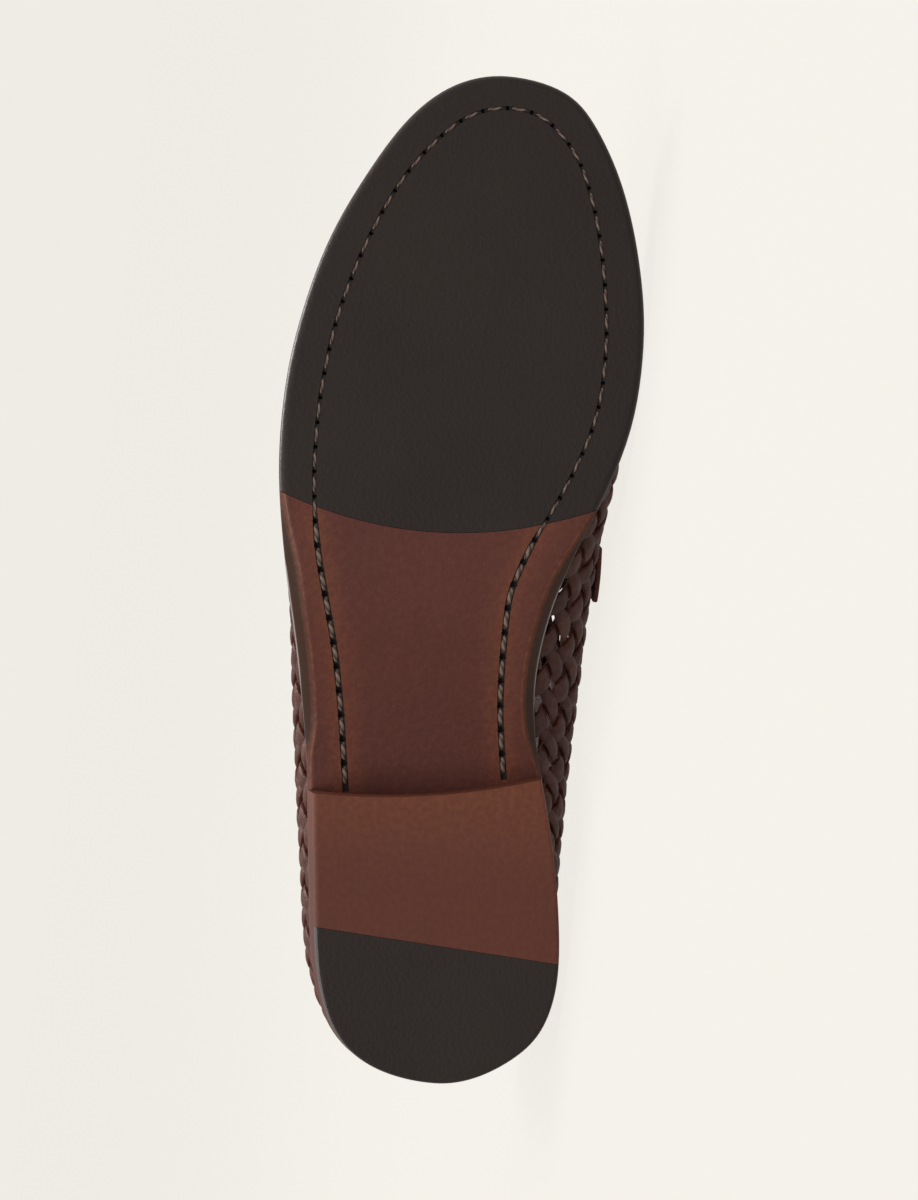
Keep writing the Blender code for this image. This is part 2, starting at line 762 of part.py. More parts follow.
def lay_wall(upper, mesh):
    """The woven wall round the foot, from the sole to the collar and the apron's seam."""
    pattern = Pattern()
    count = 2 * WEAVE_COLUMNS
    size = GAP_SIZE / WEAVE_STEP

    def place(column, row, lift=0.0):
        height = row * WEAVE_STEP
        return upper.wall(column, height) + upper.wall_normal(column, height) * lift

    grid, band, rim, sides = {}, [], [], {}
    for column in range(count + 1):
        length = upper.wall_length(column) / WEAVE_STEP
        seam = upper.seam_share(column)
        band_width = COLLAR_BAND + (SEAM_WIDTH / 2.0 - COLLAR_BAND) * seam
        band_row = length - band_width / WEAVE_STEP
        last = int(band_row - ROW_MARGIN)
        for row in range(last + 1):
            woven = (column + row) % 2 == 1 and row in GAP_ROWS and row < last
            if woven and GAPS_FROM_COLUMN <= column <= count - GAPS_FROM_COLUMN:
                pattern.cut_gap(column, row, size, place)
                continue
            lift = weave_lift(column, row) if row else 0.0
            grid[column, row] = pattern.add((column, row), place(column, row, lift))
        band_lift = COLLAR_BAND_RISE * (1.0 - seam)
        band.append(pattern.add((column, band_row), place(column, band_row, band_lift)))
        rim.append(pattern.add((column, length), upper.rim_point(column)))
        sides[column] = [grid[column, row] for row in range(1, last + 1) if (column, row) in grid]
    pattern.crease_crossings(grid)
    pattern.crease(band)
    border = [grid[column, 0] for column in range(count + 1)]
    border += sides[count] + [band[-1]] + rim[::-1] + [band[0]] + sides[0][::-1]
    pattern.sew(mesh, border)


def gap_to(point, chain):
    """Distance in plan from a point to a chain of points."""
    nearest = []
    for start, end in zip(chain, chain[1:]):
        run = end - start
        share = min(max((point - start).dot(run) / run.length_squared, 0.0), 1.0)
        nearest.append((point - start - run * share).length)
    return min(nearest)


def lay_apron(upper, mesh):
    """The woven apron over the foot, inside the seam and behind the throat."""
    pattern = Pattern()

    def place(x, y, lift=0.0):
        x, y = x * WEAVE_STEP, y * WEAVE_STEP
        return upper.apron(x, y) + upper.apron_normal(x, y) * lift

    columns = range(upper.outer_corner, upper.inner_corner + 1)
    seam = [upper.wall(column, upper.wall_length(column)).to_2d() / WEAVE_STEP for column in columns]
    border = [pattern.add(flat, upper.rim_point(column)) for flat, column in zip(seam, columns)]
    inside = []
    for before, point, after in zip(seam, seam[1:], seam[2:]):
        run = (after - before).normalized()
        flat = point + Vector((-run.y, run.x)) * (SEAM_WIDTH / 2.0 / WEAVE_STEP)
        inside.append(pattern.add(flat, place(*flat)))
    pattern.crease(inside)

    throat = [Vector(upper.throat(i / THROAT_POINTS)) / WEAVE_STEP for i in range(THROAT_POINTS + 1)]
    hem = COLLAR_BAND / WEAVE_STEP
    hem_line = []
    for flat in reversed(throat[1:-1]):
        border.append(pattern.add(flat, place(*flat, COLLAR_BAND_RISE)))
        ahead = flat + Vector((hem, 0.0))
        if gap_to(ahead, seam) > ROW_MARGIN:
            hem_line.append(pattern.add(ahead, place(*ahead, COLLAR_BAND_RISE)))
    pattern.crease(hem_line)

    grid = {}
    seam_room = SEAM_WIDTH / 2.0 / WEAVE_STEP + ROW_MARGIN
    reach = [int(value / WEAVE_STEP) for value in (upper.throat_x, SOLE_LENGTH)]
    half = int(BALL_WIDTH / 2.0 / WEAVE_STEP)
    for x in range(reach[0], reach[1]):
        for y in range(-half, half + 1):
            flat = Vector((float(x), float(y)))
            along = x * WEAVE_STEP
            within = -upper.rim_half(OUTER, along) < y * WEAVE_STEP < upper.rim_half(INNER, along)
            clear = within and gap_to(flat, seam) > seam_room
            if clear and gap_to(flat, throat) > hem + ROW_MARGIN:
                grid[x, y] = None
    for x, y in grid:
        beside = all(spot in grid for spot in ((x - 1, y), (x + 1, y), (x, y - 1), (x, y + 1)))
        if (x + y) % 2 == 1 and x % 4 == APRON_GAP_COLUMN and beside:
            pattern.cut_gap(x, y, GAP_SIZE / WEAVE_STEP, place)
        else:
            grid[x, y] = pattern.add((x, y), place(x, y, weave_lift(x, y)))
    pattern.crease_crossings({spot: index for spot, index in grid.items() if index is not None})
    pattern.sew(mesh, border)


def build_upper(upper):
    """The upper as one thin wall, open at the collar and under the foot."""
    mesh = bmesh.new()
    lay_wall(upper, mesh)
    lay_apron(upper, mesh)
    bmesh.ops.remove_doubles(mesh, verts=mesh.verts, dist=WELD)
    part = add_mesh("upper", mesh, WOVEN_LEATHER)
    wall = part.modifiers.new("wall", "SOLIDIFY")
    wall.thickness = WALL
    wall.offset = -1.0
    return part


def build_piping(upper):
    """The rolled edge round the collar, sitting just clear of the upper's rim."""
    seats = []
    count = 2 * WEAVE_COLUMNS
    for column in range(upper.inner_corner + 1, count + upper.outer_corner):
        length = upper.wall_length(column)
        normal = upper.wall_normal(column, length)
        rise = (upper.wall(column, length) - upper.wall(column, length - WEAVE_STEP / 2.0)).normalized()
        seats.append((upper.rim_point(column % count), normal, rise, 1.0))
    throat = [upper.throat(i / THROAT_POINTS) for i in range(THROAT_POINTS + 1)]
    for i, (x, y) in enumerate(throat):
        normal = upper.apron_normal(x, y)
        before, after = (Vector(throat[max(min(i + step, THROAT_POINTS), 0)]) for step in (-1, 1))
        run = (after - before).to_3d().normalized()
        back = normal.cross(run).normalized()
        back = back if back.x < 0.0 else -back
        corner = i in (0, THROAT_POINTS)
        if corner:
            side = OUTER if i == 0 else INNER
            back = (back + Vector((-CORNER_LEAN, -side * CORNER_LEAN, CORNER_LEAN))).normalized()
        rim = upper.apron(x, y) + normal * COLLAR_BAND_RISE
        seats.append((rim, normal, back, CORNER_ROOM if corner else 1.0))
    mesh = bmesh.new()
    rings = []
    for rim, normal, rise, room in seats:
        centre = rim - normal * (WALL / 2.0) + rise * (PIPING_RADIUS + CLEARANCE) * room
        ring = []
        for i in range(PIPING_SIDES):
            angle = 2.0 * math.pi * i / PIPING_SIDES
            spoke = rise * math.cos(angle) + normal * math.sin(angle)
            ring.append(mesh.verts.new(centre + spoke * PIPING_RADIUS))
        rings.append(ring)
    for ring, following in zip(rings, rings[1:] + rings[:1]):
        for i in range(PIPING_SIDES):
            j = (i + 1) % PIPING_SIDES
            mesh.faces.new((ring[i], following[i], following[j], ring[j]))
    bmesh.ops.recalc_face_normals(mesh, faces=mesh.faces)
    return add_mesh("topline_piping", mesh, STRAP_LEATHER)


def saddle_path(upper, setback):
    """Points across the instep, from low on the outer wall over the apron to the inner wall."""
    rim_x = upper.throat_x + SADDLE_SETBACK + setback
    points = []

    def wall_point(side, level):
        sunk = (1.0 - level) / (1.0 - SADDLE_DROP)
        x = rim_x - SADDLE_SLANT * sunk
        column = upper.column_through(side, x, level)
        return upper.wall(column, level * upper.wall_length(column))

    steps = range(SADDLE_WALL_ROWS + 1)
    levels = [SADDLE_DROP + (1.0 - SADDLE_DROP) * i / SADDLE_WALL_ROWS for i in steps]
    points += [wall_point(OUTER, level) for level in levels]
    outer, inner = points[-1].y, wall_point(INNER, 1.0).y
    for i in range(1, SADDLE_APRON_ROWS):
        points.append(upper.apron(rim_x, outer + (inner - outer) * i / SADDLE_APRON_ROWS))
    points += [wall_point(INNER, level) for level in reversed(levels)]
    return points


def build_saddle(upper):
    """The plain strap across the instep, raised clear of the weave and of the seams."""
    setbacks = [SADDLE_WIDTH * i / (SADDLE_LINES - 1) for i in range(SADDLE_LINES)]
    lines = [saddle_path(upper, setback) for setback in setbacks]
    seams = (SADDLE_WALL_ROWS, SADDLE_WALL_ROWS + SADDLE_APRON_ROWS)
    last = len(lines[0]) - 1
    mesh = bmesh.new()
    sheets = [[], []]
    for i, line in enumerate(lines):
        rows = [[], []]
        behind, ahead = lines[max(i - 1, 0)], lines[min(i + 1, SADDLE_LINES - 1)]
        for j, point in enumerate(line):
            run = line[min(j + 1, last)] - line[max(j - 1, 0)]
            normal = (ahead[j] - behind[j]).cross(run).normalized()
            near_seam = max(0.0, 1.0 - min(abs(j - seam) for seam in seams) / 2.0)
            lift = WEAVE_RELIEF / 2.0 + SADDLE_LIFT + SEAM_RISE * near_seam
            rows[0].append(mesh.verts.new(point + normal * lift))
            rows[1].append(mesh.verts.new(point + normal * (lift + SADDLE_THICKNESS)))
        sheets[0].append(rows[0])
        sheets[1].append(rows[1])
    low, high = sheets
    for i in range(SADDLE_LINES - 1):
        for j in range(last):
            for sheet in sheets:
                mesh.faces.new((sheet[i][j], sheet[i + 1][j], sheet[i + 1][j + 1], sheet[i][j + 1]))
        for j in (0, last):
            mesh.faces.new((low[i][j], low[i + 1][j], high[i + 1][j], high[i][j]))
    for i in (0, SADDLE_LINES - 1):
        for j in range(last):
            mesh.faces.new((low[i][j], low[i][j + 1], high[i][j + 1], high[i][j]))
    bmesh.ops.recalc_face_normals(mesh, faces=mesh.faces)
    return add_mesh("saddle", mesh, STRAP_LEATHER)


def world_mesh(part, depsgraph):
    """Corners and triangles of a finished piece."""
    shape = part.evaluated_get(depsgraph).to_mesh()
    shape.calc_loop_triangles()
    corners = np.array([part.matrix_world @ vertex.co for vertex in shape.vertices])
    triangles = np.array([triangle.vertices[:] for triangle in shape.loop_triangles])
    return corners, triangles


def balance_point(parts, meshes):
    """Centre of mass of all the pieces."""
    total, moment = 0.0, np.zeros(3)
    for part, (corners, triangles) in zip(parts, meshes):
        density = RUBBER_DENSITY if "rubber" in part.name else LEATHER_DENSITY
        a, b, c = (corners[triangles[:, i]] for i in range(3))
        volumes = np.einsum("ij,ij->i", a, np.cross(b, c)) / 6.0
        total += density * volumes.sum()
        moment += density * ((a + b + c) / 4.0 * volumes[:, None]).sum(axis=0)
    return Vector(moment / total)


def resting_face(corners, centre):
    """Direction out of the hull face on the inner side that holds up the centre of mass."""
    mesh = bmesh.new()
    for corner in corners:
        mesh.verts.new(corner)
    hull = bmesh.ops.convex_hull(mesh, input=mesh.verts)
    best = None
    for face in (item for item in hull["geom"] if isinstance(item, bmesh.types.BMFace)):
        a, b, c = (vertex.co for vertex in face.verts)
        normal = (b - a).cross(c - a).normalized()
        if (a - centre).dot(normal) < 0.0:
            normal = -normal
        foot = centre + normal * (a - centre).dot(normal)
        turns = [(end - start).cross(foot - start).dot(normal) for start, end in ((a, b), (b, c), (c, a))]
        held = min(turns) >= 0.0 or max(turns) <= 0.0
        if held and (best is None or normal.y > best.y):
            best = normal.copy()
    mesh.free()
    return best


def lay_down(parts):
    """Turn the standing shoe onto its inner side, resting on the face that holds it steady."""
    depsgraph = bpy.context.evaluated_depsgraph_get()
    meshes = [world_mesh(part, depsgraph) for part in parts]
    corners = np.concatenate([mesh[0] for mesh in meshes])
    up = -resting_face(corners, balance_point(parts, meshes))
    along = Vector((1.0, 0.0, 0.0))
    along = (along - up * along.dot(up)).normalized()
    turn_over = Matrix((along, up.cross(along), up))
    laid = corners @ np.array(turn_over).T
    low, high = laid.min(axis=0), laid.max(axis=0)
    shift = Vector((-(low[0] + high[0]) / 2.0, -(low[1] + high[1]) / 2.0, -low[2]))
    side = bpy.data.objects.new("lying_side", None)
    bpy.context.scene.collection.objects.link(side)
    side.matrix_world = Matrix.Translation(shift) @ turn_over.to_4x4()
    for part in parts:
        part.parent = side


def main():
    """Build every piece standing, then lay the shoe on its side."""
    for thing in list(bpy.data.objects):
        bpy.data.objects.remove(thing)
    upper = Upper()
    parts = [build_outsole(), build_forefoot_rubber()]
    parts += build_heel()
    parts += [build_insole(), build_upper(upper), build_saddle(upper), build_piping(upper)]
    bpy.context.view_layer.update()
    lay_down(parts)


main()
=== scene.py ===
"""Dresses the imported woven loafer: sole, stacked heel, woven upper, seams, stitches and finishes.

Every surface is worked out in the standing shoe's own frame (X from heel to toe, +Y to the inner
side of the foot, +Z up, floor at zero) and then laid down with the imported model, whose two tread
mounts say how the shoe lies. Lengths are in metres.
"""

from __future__ import annotations

import json
import logging
import math
from dataclasses import dataclass, field
from enum import Enum
from typing import Callable, NamedTuple, Sequence, Union

import bpy
import numpy as np
from mathutils import Matrix, Vector

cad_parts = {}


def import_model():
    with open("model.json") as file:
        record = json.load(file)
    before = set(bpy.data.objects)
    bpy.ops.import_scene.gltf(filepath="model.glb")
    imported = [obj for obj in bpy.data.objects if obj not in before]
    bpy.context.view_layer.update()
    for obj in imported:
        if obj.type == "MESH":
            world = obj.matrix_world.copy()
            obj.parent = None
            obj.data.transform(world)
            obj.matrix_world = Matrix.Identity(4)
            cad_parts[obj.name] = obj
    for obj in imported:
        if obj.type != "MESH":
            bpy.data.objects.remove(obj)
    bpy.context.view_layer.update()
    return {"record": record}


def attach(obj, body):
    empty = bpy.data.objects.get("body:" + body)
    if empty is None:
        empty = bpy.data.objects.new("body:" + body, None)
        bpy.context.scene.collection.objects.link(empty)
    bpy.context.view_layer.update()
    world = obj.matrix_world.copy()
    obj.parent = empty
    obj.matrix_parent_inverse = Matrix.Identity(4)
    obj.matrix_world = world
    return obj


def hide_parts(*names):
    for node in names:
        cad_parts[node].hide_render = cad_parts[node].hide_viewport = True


LOG = logging.getLogger("woven_loafer")
Line = Callable[[np.ndarray], np.ndarray]
MM = 0.001
TINY = 1e-9
POLE = 1e-6
SPAN_STEPS = 12
SPREAD = 0.985
SMOOTH_ANGLE = 50.0
ROUND_ANGLE = 80.0

# How a screen's colour values are turned into amounts of light
SCREEN_LEVELS = 255.0
SCREEN_DARK = 0.04045
SCREEN_SLOPE = 12.92
SCREEN_LIFT = 0.055
SCREEN_POWER = 2.4

# Stitches of the upper: half length, half thickness, dip of their ends, and height over the leather
STITCH_HALF = 0.00105
STITCH_WIDTH = 0.00026
STITCH_DIP = 0.00030
STITCH_SEAT = 0.00012


class Side(Enum):
    """The two sides of the foot; the value is the sign of Y there."""

    INNER = 1
    OUTER = -1


class Slant(Enum):
    """The two directions in which the strips of the weave run."""

    FORWARD = 1
    BACKWARD = -1


class Outline(NamedTuple):
    """One station of the sole's outline, with half widths as shares of the width there."""

    along: float
    inner: float
    outer: float


class Profile(NamedTuple):
    """One station of the sole's side view: shares of heel height, toe spring and waist bevel."""

    along: float
    heel: float
    spring: float
    bevel: float


class Loop(NamedTuple):
    """One station of a loop that pulls the upper's wall outward, with its share of height."""

    along: float
    inner: float
    outer: float
    rise: float


SOLE_OUTLINE = tuple(Outline(*row) for row in (
    (0.000, 0.000, 0.000), (0.020, 0.256, 0.323), (0.060, 0.430, 0.461), (0.120, 0.483, 0.526),
    (0.200, 0.452, 0.556), (0.280, 0.388, 0.586), (0.340, 0.309, 0.594), (0.400, 0.242, 0.559),
    (0.460, 0.233, 0.532), (0.520, 0.269, 0.540), (0.600, 0.372, 0.574), (0.680, 0.434, 0.570),
    (0.750, 0.440, 0.536), (0.820, 0.411, 0.480), (0.890, 0.356, 0.381), (0.950, 0.271, 0.272),
    (0.985, 0.186, 0.158), (1.000, 0.000, 0.000),
))
SOLE_PROFILE = tuple(Profile(*row) for row in (
    (0.00, 1.000, 0.00, 0.0), (0.15, 0.985, 0.00, 0.0), (0.24, 0.955, 0.00, 0.0),
    (0.30, 0.895, 0.00, 0.1), (0.34, 0.780, 0.00, 0.8), (0.40, 0.520, 0.00, 1.0),
    (0.47, 0.200, 0.00, 1.0), (0.53, 0.035, 0.00, 0.3), (0.57, 0.000, 0.00, 0.0),
    (0.74, 0.000, 0.00, 0.0), (0.82, 0.000, 0.09, 0.0), (0.90, 0.000, 0.36, 0.0),
    (1.00, 0.000, 1.00, 0.0),
))
RIM = tuple(Loop(*row) for row in (
    (0.00, 0.000, 0.000, 1.000), (0.02, 0.100, 0.115, 1.000), (0.06, 0.172, 0.200, 0.955),
    (0.12, 0.222, 0.262, 0.864), (0.20, 0.258, 0.303, 0.758), (0.30, 0.276, 0.334, 0.682),
    (0.40, 0.270, 0.338, 0.682), (0.48, 0.238, 0.312, 0.788), (0.54, 0.203, 0.275, 0.848),
    (0.62, 0.205, 0.275, 0.606), (0.72, 0.222, 0.290, 0.333), (0.82, 0.222, 0.268, 0.152),
    (0.90, 0.188, 0.208, 0.061), (0.96, 0.128, 0.132, 0.015), (1.00, 0.000, 0.000, 0.000),
))
BELLY = tuple(Loop(*row) for row in (
    (0.00, 0.000, 0.000, 0.22), (0.02, 0.190, 0.235, 0.22), (0.06, 0.290, 0.345, 0.22),
    (0.12, 0.345, 0.412, 0.22), (0.20, 0.362, 0.440, 0.22), (0.30, 0.375, 0.475, 0.22),
    (0.40, 0.392, 0.508, 0.24), (0.50, 0.430, 0.540, 0.26), (0.60, 0.455, 0.590, 0.28),
    (0.68, 0.458, 0.576, 0.32), (0.75, 0.455, 0.541, 0.36), (0.82, 0.425, 0.481, 0.40),
    (0.89, 0.360, 0.379, 0.44), (0.95, 0.272, 0.270, 0.46), (0.985, 0.172, 0.151, 0.47),
    (1.00, 0.000, 0.000, 0.48),
))
SHOULDER = tuple(Loop(*row) for row in (
    (0.00, 0.000, 0.000, 0.66), (0.02, 0.165, 0.200, 0.66), (0.06, 0.270, 0.315, 0.66),
    (0.12, 0.325, 0.375, 0.66), (0.20, 0.345, 0.415, 0.66), (0.30, 0.375, 0.460, 0.66),
    (0.40, 0.395, 0.485, 0.70), (0.50, 0.375, 0.475, 0.80), (0.60, 0.350, 0.470, 0.86),
    (0.68, 0.360, 0.460, 0.90), (0.75, 0.365, 0.445, 0.96), (0.82, 0.350, 0.405, 1.02),
    (0.89, 0.305, 0.330, 1.04), (0.95, 0.230, 0.240, 1.02), (0.985, 0.135, 0.135, 1.00),
    (1.00, 0.000, 0.000, 0.99),
))

# The seam of the sole, in the sole's own length and side to side, from one side of the heel
# round the forefoot to the other side of the heel
SOLE_SEAM = (
    (0.2845, -0.0286), (0.330, -0.0303), (0.372, -0.0320), (0.421, -0.0345), (0.465, -0.0375),
    (0.509, -0.0405), (0.547, -0.0423), (0.587, -0.0434), (0.626, -0.0437), (0.666, -0.0434),
    (0.706, -0.0423), (0.746, -0.0405), (0.786, -0.0376), (0.822, -0.0343), (0.857, -0.0303),
    (0.890, -0.0256), (0.921, -0.0196), (0.949, -0.0122), (0.964, -0.0046), (0.967, 0.0033),
    (0.960, 0.0100), (0.941, 0.0160), (0.916, 0.0207), (0.882, 0.0243), (0.844, 0.0270),
    (0.795, 0.0293), (0.746, 0.0306), (0.696, 0.0304), (0.656, 0.0286), (0.616, 0.0249),
    (0.580, 0.0206), (0.544, 0.0157), (0.513, 0.0124), (0.483, 0.0103), (0.434, 0.0100),
    (0.384, 0.0105), (0.345, 0.0117), (0.3060, 0.0133),
)


def smoothstep(low: float, high: float, value: np.ndarray | float) -> np.ndarray:
    """Rise smoothly from 0 at low to 1 at high."""
    share = np.clip((np.asarray(value, dtype=float) - low) / (high - low), 0.0, 1.0)
    return share * share * (3.0 - 2.0 * share)


def unit(vectors: np.ndarray) -> np.ndarray:
    """Give every row length one."""
    return vectors / np.maximum(np.linalg.norm(vectors, axis=-1, keepdims=True), TINY)


def monotone_curve(knots: Sequence[float], values: Sequence[float], at: np.ndarray) -> np.ndarray:
    """Read a smooth curve through knots that does not overshoot them.

    Args:
        knots: places of the knots, rising.
        values: value at each knot.
        at: places to read.

    Returns:
        The curve's values there.
    """
    x, y = np.asarray(knots, dtype=float), np.asarray(values, dtype=float)
    at = np.asarray(at, dtype=float)
    steps = np.diff(x)
    slopes = np.diff(y) / steps
    tangents = np.zeros_like(y)
    tangents[0], tangents[-1] = slopes[0], slopes[-1]
    for i in range(1, len(x) - 1):
        before, after = slopes[i - 1], slopes[i]
        if before * after > 0.0:
            weight_before = 2.0 * steps[i] + steps[i - 1]
            weight_after = steps[i] + 2.0 * steps[i - 1]
            tangents[i] = (weight_before + weight_after) / (weight_before / before + weight_after / after)
    place = np.clip(np.searchsorted(x, at) - 1, 0, len(x) - 2)
    width = steps[place]
    t = np.clip((at - x[place]) / width, 0.0, 1.0)
    return (
        (2 * t**3 - 3 * t**2 + 1) * y[place]
        + (t**3 - 2 * t**2 + t) * tangents[place] * width
        + (3 * t**2 - 2 * t**3) * y[place + 1]
        + (t**3 - t**2) * tangents[place + 1] * width
    )


def turn(along: np.ndarray | float) -> np.ndarray:
    """Spread a loop's round ends so that a smooth curve can follow them."""
    return np.arccos(1.0 - 2.0 * np.clip(along, 0.0, 1.0))


def table_curve(rows: Sequence[NamedTuple], column: str, along: np.ndarray) -> np.ndarray:
    """Read one column of a table of stations at shares of the length."""
    knots = [float(turn(row.along)) for row in rows]
    return monotone_curve(knots, [getattr(row, column) for row in rows], turn(along))


@dataclass(frozen=True)
class ShoeSizes:
    """Driving sizes of the shoe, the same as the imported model's."""

    sole_length: float = 0.268
    ball_width: float = 0.093
    heel_width: float = 0.066
    heel_height: float = 0.020
    toe_spring: float = 0.009
    sole_thickness: float = 0.005
    rubber_thickness: float = 0.0025
    edge_rounding: float = 0.0012
    bevel_width: float = 0.0042
    bevel_height: float = 0.0026
    rubber_joint: float = 0.1458
    rubber_joint_radius: float = 0.105
    rubber_joint_centre: float = -0.012
    heel_taper: float = 0.0012
    top_piece: float = 0.006
    heel_lifts: int = 3
    heel_breast: float = 0.0776
    breast_slant: float = 0.175
    breast_bow: float = 0.0031
    heel_rubber_joint: float = 0.0372
    heel_rubber_slant: float = -0.0825
    wall: float = 0.0018
    feather_inset: float = 0.0022
    collar_height: float = 0.060
    toe_height: float = 0.027
    apron_crown: float = 0.013
    throat_share: float = 0.54
    throat_bow: float = 0.009
    weave_step: float = 0.00515
    weave_columns: int = 56
    collar_band: float = 0.0055
    seam_width: float = 0.0026
    seam_rise: float = 0.0013
    piping_radius: float = 0.0016
    corner_room: float = 1.5
    corner_lean: float = 0.5
    saddle_width: float = 0.0150
    saddle_thickness: float = 0.0015
    saddle_lift: float = 0.0013
    saddle_setback: float = 0.0060
    saddle_slant: float = 0.0090
    saddle_drop: float = 0.50
    insole: float = 0.003
    seat: float = 0.0005
    rim_ends: tuple[float, float] = (0.0050, -0.0250)
    belly_ends: tuple[float, float] = (-0.0020, -0.0018)
    shoulder_ends: tuple[float, float] = (0.0005, -0.0062)


@dataclass(frozen=True)
class TreadMount:
    """A mount on the tread and its place in the standing shoe."""

    name: str
    x: float
    y: float


HEEL_TREAD = TreadMount("heel_tread", 0.056, -0.003)
FOREFOOT_TREAD = TreadMount("forefoot_tread", 0.176, -0.006)


class LyingPose:
    """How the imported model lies, read from its two tread mounts."""

    def __init__(self, record: dict) -> None:
        """Work out the turn and the shift from the standing shoe to the lying one.

        Args:
            record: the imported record.
        """
        mounts = {mount["name"]: mount for mount in record["mounts"]}
        heel = np.array(mounts[HEEL_TREAD.name]["pos_m"], dtype=float)
        ball = np.array(mounts[FOREFOOT_TREAD.name]["pos_m"], dtype=float)
        up = -unit(np.array(mounts[HEEL_TREAD.name]["axis"], dtype=float))
        run = ball - heel
        run = unit(run - up * run.dot(up))
        side = np.cross(up, run)
        angle = math.atan2(FOREFOOT_TREAD.y - HEEL_TREAD.y, FOREFOOT_TREAD.x - HEEL_TREAD.x)
        along = run * math.cos(angle) - side * math.sin(angle)
        self.turn = np.column_stack((along, np.cross(up, along), up))
        self.shift = heel - self.turn @ np.array((HEEL_TREAD.x, HEEL_TREAD.y, 0.0))

    def lay(self, points: np.ndarray) -> np.ndarray:
        """Move points of the standing shoe to where they lie."""
        return points @ self.turn.T + self.shift

    def direction(self, vector: Sequence[float]) -> Vector:
        """Turn a direction of the standing shoe as the shoe is turned."""
        return Vector(self.turn @ np.asarray(vector, dtype=float))


class SoleShape:
    """The sole's outline, side view and joints."""

    samples = 400
    softness = 9
    widening = (0.30, 0.52)
    rounds = 16
    digits = 6
    same = 1e-6

    def __init__(self, sizes: ShoeSizes) -> None:
        """Keep the sizes and an empty store of outlines."""
        self.sizes = sizes
        self._outlines: dict[tuple[Side, float], tuple[np.ndarray, np.ndarray]] = {}

    def profile(self, column: str, x: np.ndarray | float) -> np.ndarray:
        """Read one column of the side view at lengths.

        Args:
            column: the column.
            x: lengths along the shoe.

        Returns:
            The values there.
        """
        knots = [row.along for row in SOLE_PROFILE]
        share = np.clip(np.asarray(x, dtype=float) / self.sizes.sole_length, 0.0, 1.0)
        return monotone_curve(knots, [getattr(row, column) for row in SOLE_PROFILE], share)

    def tread(self, x: np.ndarray | float) -> np.ndarray:
        """Height of the sole's underside above the floor."""
        sizes = self.sizes
        return sizes.heel_height * self.profile("heel", x) + sizes.toe_spring * self.profile("spring", x)

    def top(self, x: np.ndarray | float) -> np.ndarray:
        """Height of the sole's upper face above the floor."""
        return self.tread(x) + self.sizes.sole_thickness

    def soften(self, half: np.ndarray) -> np.ndarray:
        """Round off the slight corners that the stations leave in a row of half widths.

        Args:
            half: half widths.

        Returns:
            The softened half widths.
        """
        reach = 3 * self.softness
        weights = np.exp(-0.5 * (np.arange(-reach, reach + 1) / self.softness) ** 2)
        padded = np.concatenate((-half[reach:0:-1], half, -half[-2 : -reach - 2 : -1]))
        return np.convolve(padded, weights / weights.sum(), mode="valid")

    def outline(self, side: Side, inset: float) -> tuple[np.ndarray, np.ndarray]:
        """Lengths and half widths of one side, drawn in by an inset.

        Args:
            side: the side of the foot.
            inset: how far it is drawn in.

        Returns:
            The lengths and the half widths.
        """
        key = (side, round(inset, self.digits))
        if key not in self._outlines:
            sizes = self.sizes
            along = (1.0 - np.cos(np.linspace(0.0, math.pi, self.samples))) / 2.0
            blend = smoothstep(*self.widening, along)
            width = sizes.heel_width + (sizes.ball_width - sizes.heel_width) * blend
            half = self.soften(table_curve(SOLE_OUTLINE, side.name.lower(), along) * width)
            x = along * sizes.sole_length
            run, climb = np.gradient(x), np.gradient(half)
            length = np.hypot(run, climb)
            drawn = np.maximum(half - inset * run / length, 0.0)
            self._outlines[key] = (x + inset * climb / length, drawn)
        return self._outlines[key]

    def half_width(self, side: Side, x: np.ndarray, inset: float) -> np.ndarray:
        """Half width at lengths, drawn in by an inset."""
        return np.interp(x, *self.outline(side, inset))

    def rubber_line(self, y: np.ndarray) -> np.ndarray:
        """The curved joint across the forefoot."""
        sizes = self.sizes
        return sizes.rubber_joint + (y - sizes.rubber_joint_centre) ** 2 / (2.0 * sizes.rubber_joint_radius)

    def breast_line(self, y: np.ndarray) -> np.ndarray:
        """The slanted and bowed front of the heel."""
        sizes = self.sizes
        return sizes.heel_breast + sizes.breast_slant * y + sizes.breast_bow * (2.0 * y / sizes.heel_width) ** 2

    def heel_rubber_line(self, y: np.ndarray) -> np.ndarray:
        """The straight slanted joint of the heel's lowest lift."""
        return self.sizes.heel_rubber_joint + self.sizes.heel_rubber_slant * y

    def plan(
        self,
        share: np.ndarray,
        across: np.ndarray,
        inset: np.ndarray,
        back: Line | None,
        front: Line | None,
    ) -> tuple[np.ndarray, np.ndarray]:
        """Places between two lines across the sole.

        Args:
            share: from 0 at the back line to 1 at the front line.
            across: from -1 at the outer edge to 1 at the inner edge.
            inset: how far the outline is drawn in.
            back: the back line, or None for the sole's round end.
            front: the front line, or None for the sole's round end.

        Returns:
            Lengths and sideways places.
        """
        share, across, inset = np.broadcast_arrays(share, across, inset)
        y = np.zeros(share.shape)
        for _ in range(self.rounds):
            start = inset if back is None else back(y)
            end = self.sizes.sole_length - inset if front is None else front(y)
            x = start + share * (end - start)
            half = np.zeros(share.shape)
            for value in np.unique(inset.round(self.digits)):
                here = np.isclose(inset, value, atol=self.same)
                inner = self.half_width(Side.INNER, x[here], float(value))
                outer = self.half_width(Side.OUTER, x[here], float(value))
                half[here] = np.where(across[here] > 0.0, inner, outer)
            y = across * half
        return x, y


